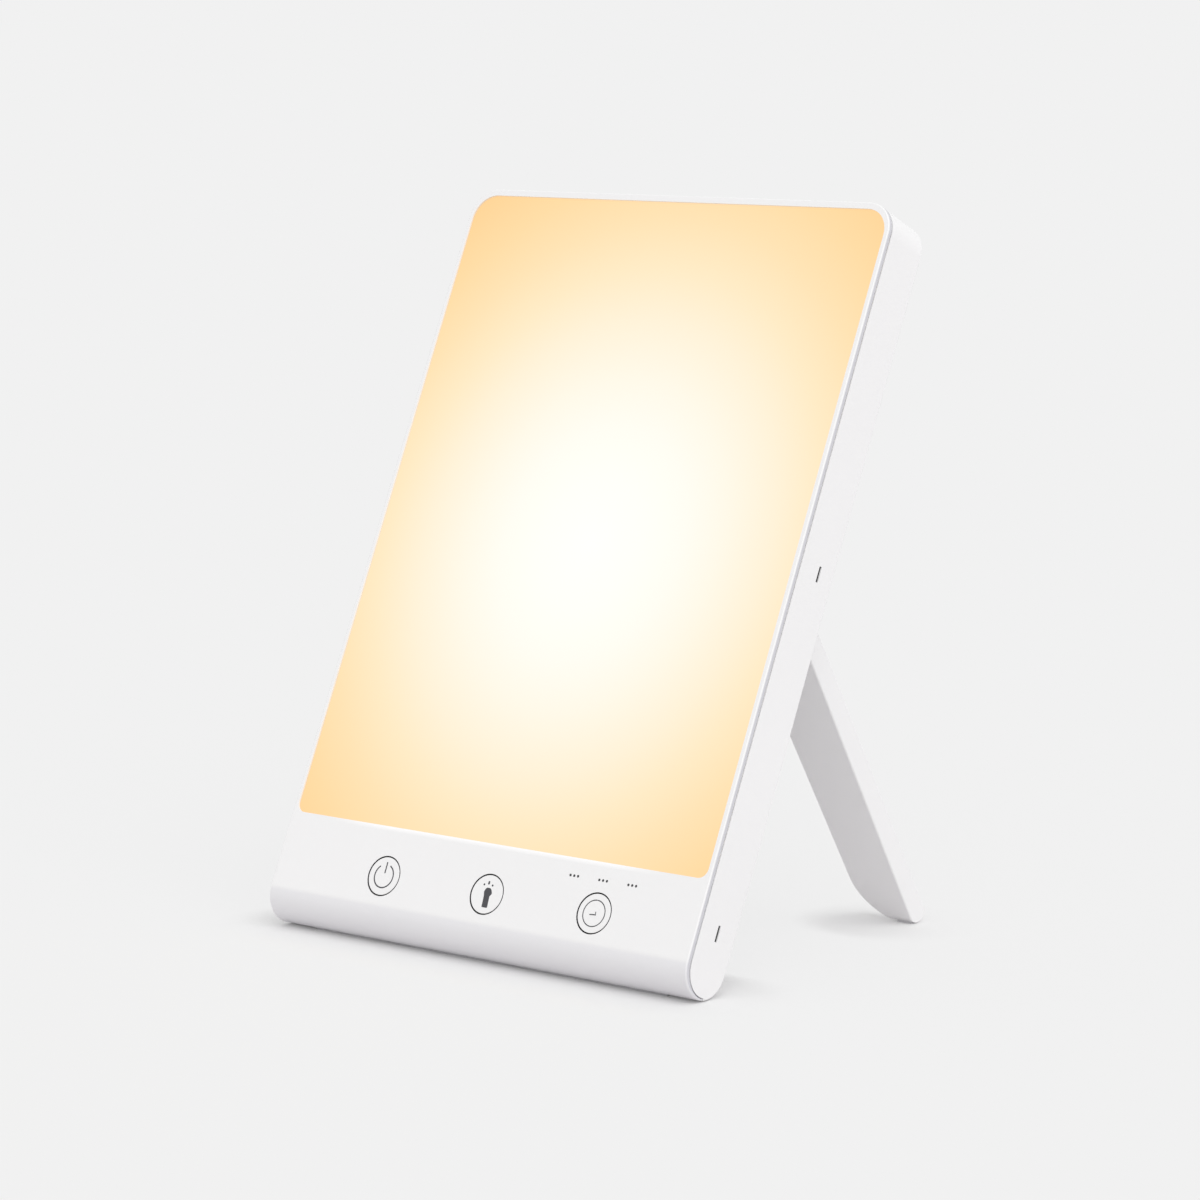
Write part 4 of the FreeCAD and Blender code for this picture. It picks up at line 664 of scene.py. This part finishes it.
# The prints in millimetres, from the cap's middle. A ring is its radius, its line
# and the two angles of its gap. A stroke is its two ends and its width.
MM = 0.001
RINGS = {"power": (3.45, 0.4, 64, 130), "timer": (3.75, 0.3, 87.5, 90.5)}
STROKES = {
    "power": [((0.0, 4.2), (0.08, 0.8), 0.42)],
    "torch": [((-1.95, 2.9), (-1.6, 2.4), 0.62), ((-0.24, 2.8), (-0.24, 3.85), 0.6),
              ((1.1, 2.5), (1.42, 3.0), 0.62)],
    "timer": [((-1.46, -0.5), (0.85, -0.35), 0.32), ((0.64, -0.17), (0.5, 0.55), 0.3)],
}

# The torch: where its foot is, its width and its first rise there. Each level above
# is a rise, the middle up there, and how many times as wide it gets.
TORCH_FOOT = (0.42, -3.82)
TORCH_WIDTH = 2.05
TORCH_FIRST = 0.5
TORCH_LEVELS = ((2.85, 0.17, 1.0), (0.75, 0.33, 1.38), (0.4, 0.27, 1.0), (0.75, 0.2, 0.78),
                (0.47, 0.14, 0.55))
TORCH_ROUND = 0.28

# A bevel of just under half its width rounds a stroke's end, and a corner is on a
# level when it is this near.
ROUND_END = 0.49
NEAR = 0.01

# Pad printing ink: near black, a little uneven where the pad left it thinner.
pad_printing_ink = new_material("pad_printing_ink")
ink = pad_printing_ink.node_tree
where = add_node(ink, "ShaderNodeTexCoord")
lay = add_node(ink, "ShaderNodeTexNoise", {"Scale": 1 / INK_MOTTLE, "Detail": 3.0},
               {"Vector": where.outputs["Object"]})
body_colour = add_node(ink, "ShaderNodeMix", {"data_type": "RGBA", 6: srgb("#3E3E42"),
                                              7: srgb("#4C4C51")}, {0: lay.outputs[0]})
ink_surface = add_node(ink, "ShaderNodeBsdfPrincipled", {"Roughness": 0.5, "IOR": 1.5},
                       {"Base Color": body_colour.outputs[2]})
add_node(ink, "ShaderNodeOutputMaterial", links={"Surface": ink_surface.outputs[0]})


def pick(piece, test):
    """Selects the corners of a piece in edit mode that pass a test, and their faces."""
    bpy.ops.mesh.select_mode(type="VERT")
    bpy.ops.mesh.select_all(action="DESELECT")
    shape = bmesh.from_edit_mesh(piece.data)
    for corner in shape.verts:
        corner.select = test(corner.co)
    shape.select_flush_mode()
    bmesh.update_edit_mesh(piece.data)


def print_ring(radius, line, gap_from, gap_to):
    """A printed ring, open between two angles in degrees."""
    bpy.ops.object.select_all(action="DESELECT")
    bpy.ops.mesh.primitive_circle_add(vertices=180, radius=(radius + line / 2) * MM,
                                      fill_type="NGON")
    ring = bpy.context.active_object
    bpy.ops.object.mode_set(mode="EDIT")
    bpy.ops.mesh.select_all(action="SELECT")
    bpy.ops.mesh.inset(thickness=line * MM)
    bpy.ops.mesh.delete(type="FACE")
    pick(ring, lambda at: gap_from <= math.degrees(math.atan2(at.y, at.x)) <= gap_to)
    bpy.ops.mesh.delete(type="FACE")
    bpy.ops.object.mode_set(mode="OBJECT")
    return ring


def print_stroke(start, end, width):
    """A printed stroke with round ends, between two points."""
    run = (Vector(end) - Vector(start)) * MM
    middle = (Vector(end) + Vector(start)) / 2 * MM
    bpy.ops.object.select_all(action="DESELECT")
    bpy.ops.mesh.primitive_plane_add(size=1, location=(*middle, 0),
                                     rotation=(0, 0, math.atan2(run.y, run.x)))
    stroke = bpy.context.active_object
    stroke.scale = (run.length, width * MM, 1)
    bpy.ops.object.transform_apply(location=True, rotation=True, scale=True)
    bpy.ops.object.mode_set(mode="EDIT")
    bpy.ops.mesh.select_all(action="SELECT")
    bpy.ops.mesh.bevel(offset=width * ROUND_END * MM, segments=5, affect="VERTICES")
    bpy.ops.object.mode_set(mode="OBJECT")
    return stroke


def print_torch():
    """A printed torch: a straight handle and, on top of it, a wide round head."""
    middle, foot = TORCH_FOOT
    level = foot + TORCH_FIRST
    bpy.ops.object.select_all(action="DESELECT")
    bpy.ops.mesh.primitive_plane_add(
        size=1, location=(middle * MM, (foot + TORCH_FIRST / 2) * MM, 0))
    torch = bpy.context.active_object
    torch.scale = (TORCH_WIDTH * MM, TORCH_FIRST * MM, 1)
    bpy.ops.object.transform_apply(location=True, rotation=True, scale=True)
    bpy.ops.object.mode_set(mode="EDIT")
    for rise, middle_to, spread in TORCH_LEVELS:
        pick(torch, lambda at: abs(at.y / MM - level) < NEAR)
        bpy.ops.mesh.extrude_region_move(TRANSFORM_OT_translate={
            "value": ((middle_to - middle) * MM, rise * MM, 0)})
        middle = middle_to
        level += rise
        bpy.ops.transform.resize(value=(spread, 1, 1),
                                 center_override=(middle * MM, level * MM, 0))
    pick(torch, lambda at: at.y / MM < foot + NEAR or at.y / MM > level - NEAR)
    bpy.ops.mesh.bevel(offset=TORCH_ROUND * MM, segments=4, affect="VERTICES")
    bpy.ops.object.mode_set(mode="OBJECT")
    return torch


for key, strokes in STROKES.items():
    parts = [print_ring(*RINGS[key]) if key in RINGS else print_torch()]
    parts += [print_stroke(*stroke) for stroke in strokes]
    bpy.ops.object.select_all(action="DESELECT")
    for part in parts:
        part.select_set(True)
    bpy.context.view_layer.objects.active = parts[0]
    bpy.ops.object.join()
    symbol = bpy.context.active_object
    symbol.name = key + "_symbol"
    bpy.ops.object.mode_set(mode="EDIT")
    bpy.ops.mesh.select_mode(type="FACE")
    bpy.ops.mesh.select_all(action="SELECT")
    bpy.ops.mesh.extrude_region_move(TRANSFORM_OT_translate={"value": (0, 0, INK_FILM)})
    bpy.ops.mesh.select_all(action="SELECT")
    bpy.ops.mesh.normals_make_consistent(inside=False)
    bpy.ops.object.mode_set(mode="OBJECT")
    symbol.data.materials.append(pad_printing_ink)
    place_on_face(symbol, CAP_AT[key], CAP_FRONT, KEY_HEIGHT, math.pi / 2)
    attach(symbol, key + "_key")

# ------------------------------------------------------------- the indicators
# Three smoked light pipes, each with three pins that end flush in the front
# sheet. Unlit they show as rows of small dark dots.

SMOKE_SWIRL = 0.0011

# Smoked polycarbonate: a dark clear plastic, so a glossy near black.
smoked_polycarbonate = new_material("smoked_polycarbonate")
smoke = smoked_polycarbonate.node_tree
where = add_node(smoke, "ShaderNodeTexCoord")
drift = add_node(smoke, "ShaderNodeTexNoise", {"Scale": 1 / SMOKE_SWIRL, "Detail": 2.0},
                 {"Vector": where.outputs["Object"]})
depth = add_node(smoke, "ShaderNodeMix", {"data_type": "RGBA", 6: srgb("#3A3A3C"),
                                          7: srgb("#4A4A4D")}, {0: drift.outputs[0]})
smoke_surface = add_node(smoke, "ShaderNodeBsdfPrincipled",
                         {"Roughness": 0.2, "IOR": 1.58, "Transmission Weight": 0.25},
                         {"Base Color": depth.outputs[2]})
add_node(smoke, "ShaderNodeOutputMaterial", links={"Surface": smoke_surface.outputs[0]})
finish(["indicator_light_pipes"], smoked_polycarbonate)

# ------------------------------------------------------- inlet and flat leads
# A barrel socket moulded in black nylon with a nickel-plated centre pin, and
# flat polyimide leads from the control board to the LED boards and the socket.

FIBRE_SWIRL = 0.00067
TURNING_MARK = 0.000125
LEAD_TRACK = 0.0008

# Black nylon: satin, with the faint swirl of its glass fibres.
black_nylon = new_material("black_nylon")
socket_tree = black_nylon.node_tree
where = add_node(socket_tree, "ShaderNodeTexCoord")
fibres = add_node(socket_tree, "ShaderNodeTexNoise",
                  {"Scale": 1 / FIBRE_SWIRL, "Detail": 3.0, "Distortion": 1.5},
                  {"Vector": where.outputs["Object"]})
swirl = add_node(socket_tree, "ShaderNodeMix", {"data_type": "RGBA", 6: srgb("#161617"),
                                                7: srgb("#232325")}, {0: fibres.outputs[0]})
rough = add_node(socket_tree, "ShaderNodeMapRange", {"To Min": 0.38, "To Max": 0.55},
                 {"Value": fibres.outputs[0]})
socket_surface = add_node(socket_tree, "ShaderNodeBsdfPrincipled", {"IOR": 1.53},
                          {"Base Color": swirl.outputs[2], "Roughness": rough.outputs[0]})
add_node(socket_tree, "ShaderNodeOutputMaterial", links={"Surface": socket_surface.outputs[0]})
finish(["dc_socket"], black_nylon)

# Nickel plate: a warm bright metal with hairline turning marks.
nickel_plate = new_material("nickel_plate")
nickel = nickel_plate.node_tree
where = add_node(nickel, "ShaderNodeTexCoord")
turning = add_node(nickel, "ShaderNodeTexNoise", {"Scale": 1 / TURNING_MARK, "Detail": 2.0},
                   {"Vector": where.outputs["Object"]})
rough = add_node(nickel, "ShaderNodeMapRange", {"To Min": 0.12, "To Max": 0.24},
                 {"Value": turning.outputs[0]})
nickel_surface = add_node(nickel, "ShaderNodeBsdfPrincipled",
                          {"Base Color": srgb("#D5CFC2"), "Metallic": 1.0},
                          {"Roughness": rough.outputs[0]})
add_node(nickel, "ShaderNodeOutputMaterial", links={"Surface": nickel_surface.outputs[0]})
finish(["dc_socket_pin"], nickel_plate)

# Polyimide flex: amber film, darker in lines where copper tracks run under it.
polyimide_flex = new_material("polyimide_flex")
flex = polyimide_flex.node_tree
where = add_node(flex, "ShaderNodeTexCoord")
tracks = add_node(flex, "ShaderNodeTexWave",
                  {"wave_type": "BANDS", "bands_direction": "Z",
                   "Scale": math.pi / (10 * LEAD_TRACK)},
                  {"Vector": where.outputs["Object"]})
amber = add_node(flex, "ShaderNodeMix", {"data_type": "RGBA", 6: srgb("#C77A22"),
                                         7: srgb("#A55A14")}, {0: tracks.outputs[1]})
flex_surface = add_node(flex, "ShaderNodeBsdfPrincipled", {"Roughness": 0.3, "IOR": 1.7},
                        {"Base Color": amber.outputs[2]})
add_node(flex, "ShaderNodeOutputMaterial", links={"Surface": flex_surface.outputs[0]})
finish(["dc_lead", "led_flex_left", "led_flex_right"], polyimide_flex)

# ------------------------------------------------------------------ the hinge
# Two zinc die-cast brackets screwed on the back, ground steel pins pressed into
# the stand, and fibre washers between them that give the stand its friction.

CAST_PEBBLE = 0.00045
GRIND_RING = 0.00008
GRIND_LENGTH = 0.0033
FIBRE_STRAND = 0.00025

# Die-cast zinc: satin grey, with the soft pebbled skin of a tumbled casting.
cast_zinc = new_material("cast_zinc")
zinc = cast_zinc.node_tree
where = add_node(zinc, "ShaderNodeTexCoord")
skin = add_node(zinc, "ShaderNodeTexNoise", {"Scale": 1 / CAST_PEBBLE, "Detail": 4.0},
                {"Vector": where.outputs["Object"]})
grey = add_node(zinc, "ShaderNodeMix", {"data_type": "RGBA", 6: srgb("#B9BBBD"),
                                        7: srgb("#CCCDCF")}, {0: skin.outputs[0]})
rough = add_node(zinc, "ShaderNodeMapRange", {"To Min": 0.38, "To Max": 0.52},
                 {"Value": skin.outputs[0]})
bump = add_node(zinc, "ShaderNodeBump", {"Strength": 0.15, "Distance": 0.00003},
                {"Height": skin.outputs[0]})
zinc_surface = add_node(zinc, "ShaderNodeBsdfPrincipled", {"Metallic": 1.0},
                        {"Base Color": grey.outputs[2], "Roughness": rough.outputs[0],
                         "Normal": bump.outputs[0]})
add_node(zinc, "ShaderNodeOutputMaterial", links={"Surface": zinc_surface.outputs[0]})
finish(["hinge_bracket_left", "hinge_bracket_right"], cast_zinc)

# Ground steel: bright, with fine rings from the centreless grinder.
ground_steel = new_material("ground_steel")
steel = ground_steel.node_tree
where = add_node(steel, "ShaderNodeTexCoord")
rings = add_node(steel, "ShaderNodeMapping",
                 {"Scale": (1 / GRIND_RING, 1 / GRIND_LENGTH, 1 / GRIND_LENGTH)},
                 {"Vector": where.outputs["Object"]})
marks = add_node(steel, "ShaderNodeTexNoise", {"Scale": 1.0, "Detail": 2.0},
                 {"Vector": rings.outputs[0]})
rough = add_node(steel, "ShaderNodeMapRange", {"To Min": 0.18, "To Max": 0.32},
                 {"Value": marks.outputs[0]})
steel_surface = add_node(steel, "ShaderNodeBsdfPrincipled",
                         {"Base Color": srgb("#C2C2C3"), "Metallic": 1.0},
                         {"Roughness": rough.outputs[0]})
add_node(steel, "ShaderNodeOutputMaterial", links={"Surface": steel_surface.outputs[0]})
finish(["hinge_pin_left", "hinge_pin_right"], ground_steel)

# Vulcanised fibre: dull black, with short felted strands.
black_fibre = new_material("black_fibre")
felt = black_fibre.node_tree
where = add_node(felt, "ShaderNodeTexCoord")
strands = add_node(felt, "ShaderNodeTexNoise",
                   {"Scale": 1 / FIBRE_STRAND, "Detail": 4.0, "Distortion": 2.0},
                   {"Vector": where.outputs["Object"]})
dull = add_node(felt, "ShaderNodeMix", {"data_type": "RGBA", 6: srgb("#242426"),
                                        7: srgb("#3A3A3C")}, {0: strands.outputs[0]})
bump = add_node(felt, "ShaderNodeBump", {"Strength": 0.3, "Distance": 0.00003},
                {"Height": strands.outputs[0]})
felt_surface = add_node(felt, "ShaderNodeBsdfPrincipled", {"Roughness": 0.85, "IOR": 1.5},
                        {"Base Color": dull.outputs[2], "Normal": bump.outputs[0]})
add_node(felt, "ShaderNodeOutputMaterial", links={"Surface": felt_surface.outputs[0]})
finish(["friction_washers"], black_fibre)

# ------------------------------------------------------------------- the feet
# Grey silicone rubber: a strip let into the groove under the chin, and a small
# pad in the toe of each leg, glued in and standing 0.3 mm proud.

DUST_SPOT = 0.00055

# Silicone rubber: matt grey, faintly dusty, so it has no clear highlight.
grey_silicone = new_material("grey_silicone")
rubber = grey_silicone.node_tree
where = add_node(rubber, "ShaderNodeTexCoord")
dust = add_node(rubber, "ShaderNodeTexNoise", {"Scale": 1 / DUST_SPOT, "Detail": 3.0},
                {"Vector": where.outputs["Object"]})
matt_grey = add_node(rubber, "ShaderNodeMix", {"data_type": "RGBA", 6: srgb("#C9C9CB"),
                                               7: srgb("#D6D6D8")}, {0: dust.outputs[0]})
bump = add_node(rubber, "ShaderNodeBump", {"Strength": 0.2, "Distance": 0.00003},
                {"Height": dust.outputs[0]})
rubber_surface = add_node(rubber, "ShaderNodeBsdfPrincipled", {"Roughness": 0.8, "IOR": 1.42},
                          {"Base Color": matt_grey.outputs[2], "Normal": bump.outputs[0]})
add_node(rubber, "ShaderNodeOutputMaterial", links={"Surface": rubber_surface.outputs[0]})
finish(["stand_feet", "chin_grip_strip"], grey_silicone)

# ----------------------------------------------------------------- the screws
# Self-tapping screws with cross-recessed heads, zinc plated: two through the
# back into the case, two in each hinge bracket, four in the control board.

BATH_CLOUD = 0.0014

# Zinc plate: bluish silver, clouded from the passivation bath.
zinc_plated_steel = new_material("zinc_plated_steel")
plate_tree = zinc_plated_steel.node_tree
where = add_node(plate_tree, "ShaderNodeTexCoord")
bath = add_node(plate_tree, "ShaderNodeTexNoise", {"Scale": 1 / BATH_CLOUD, "Detail": 3.0},
                {"Vector": where.outputs["Object"]})
blue_silver = add_node(plate_tree, "ShaderNodeMix", {"data_type": "RGBA", 6: srgb("#BFC3C8"),
                                                     7: srgb("#CFCFCE")}, {0: bath.outputs[0]})
rough = add_node(plate_tree, "ShaderNodeMapRange", {"To Min": 0.25, "To Max": 0.4},
                 {"Value": bath.outputs[0]})
plate_surface = add_node(plate_tree, "ShaderNodeBsdfPrincipled", {"Metallic": 1.0},
                         {"Base Color": blue_silver.outputs[2], "Roughness": rough.outputs[0]})
add_node(plate_tree, "ShaderNodeOutputMaterial", links={"Surface": plate_surface.outputs[0]})
finish(["cover_screws", "hinge_screws", "board_screws"], zinc_plated_steel)
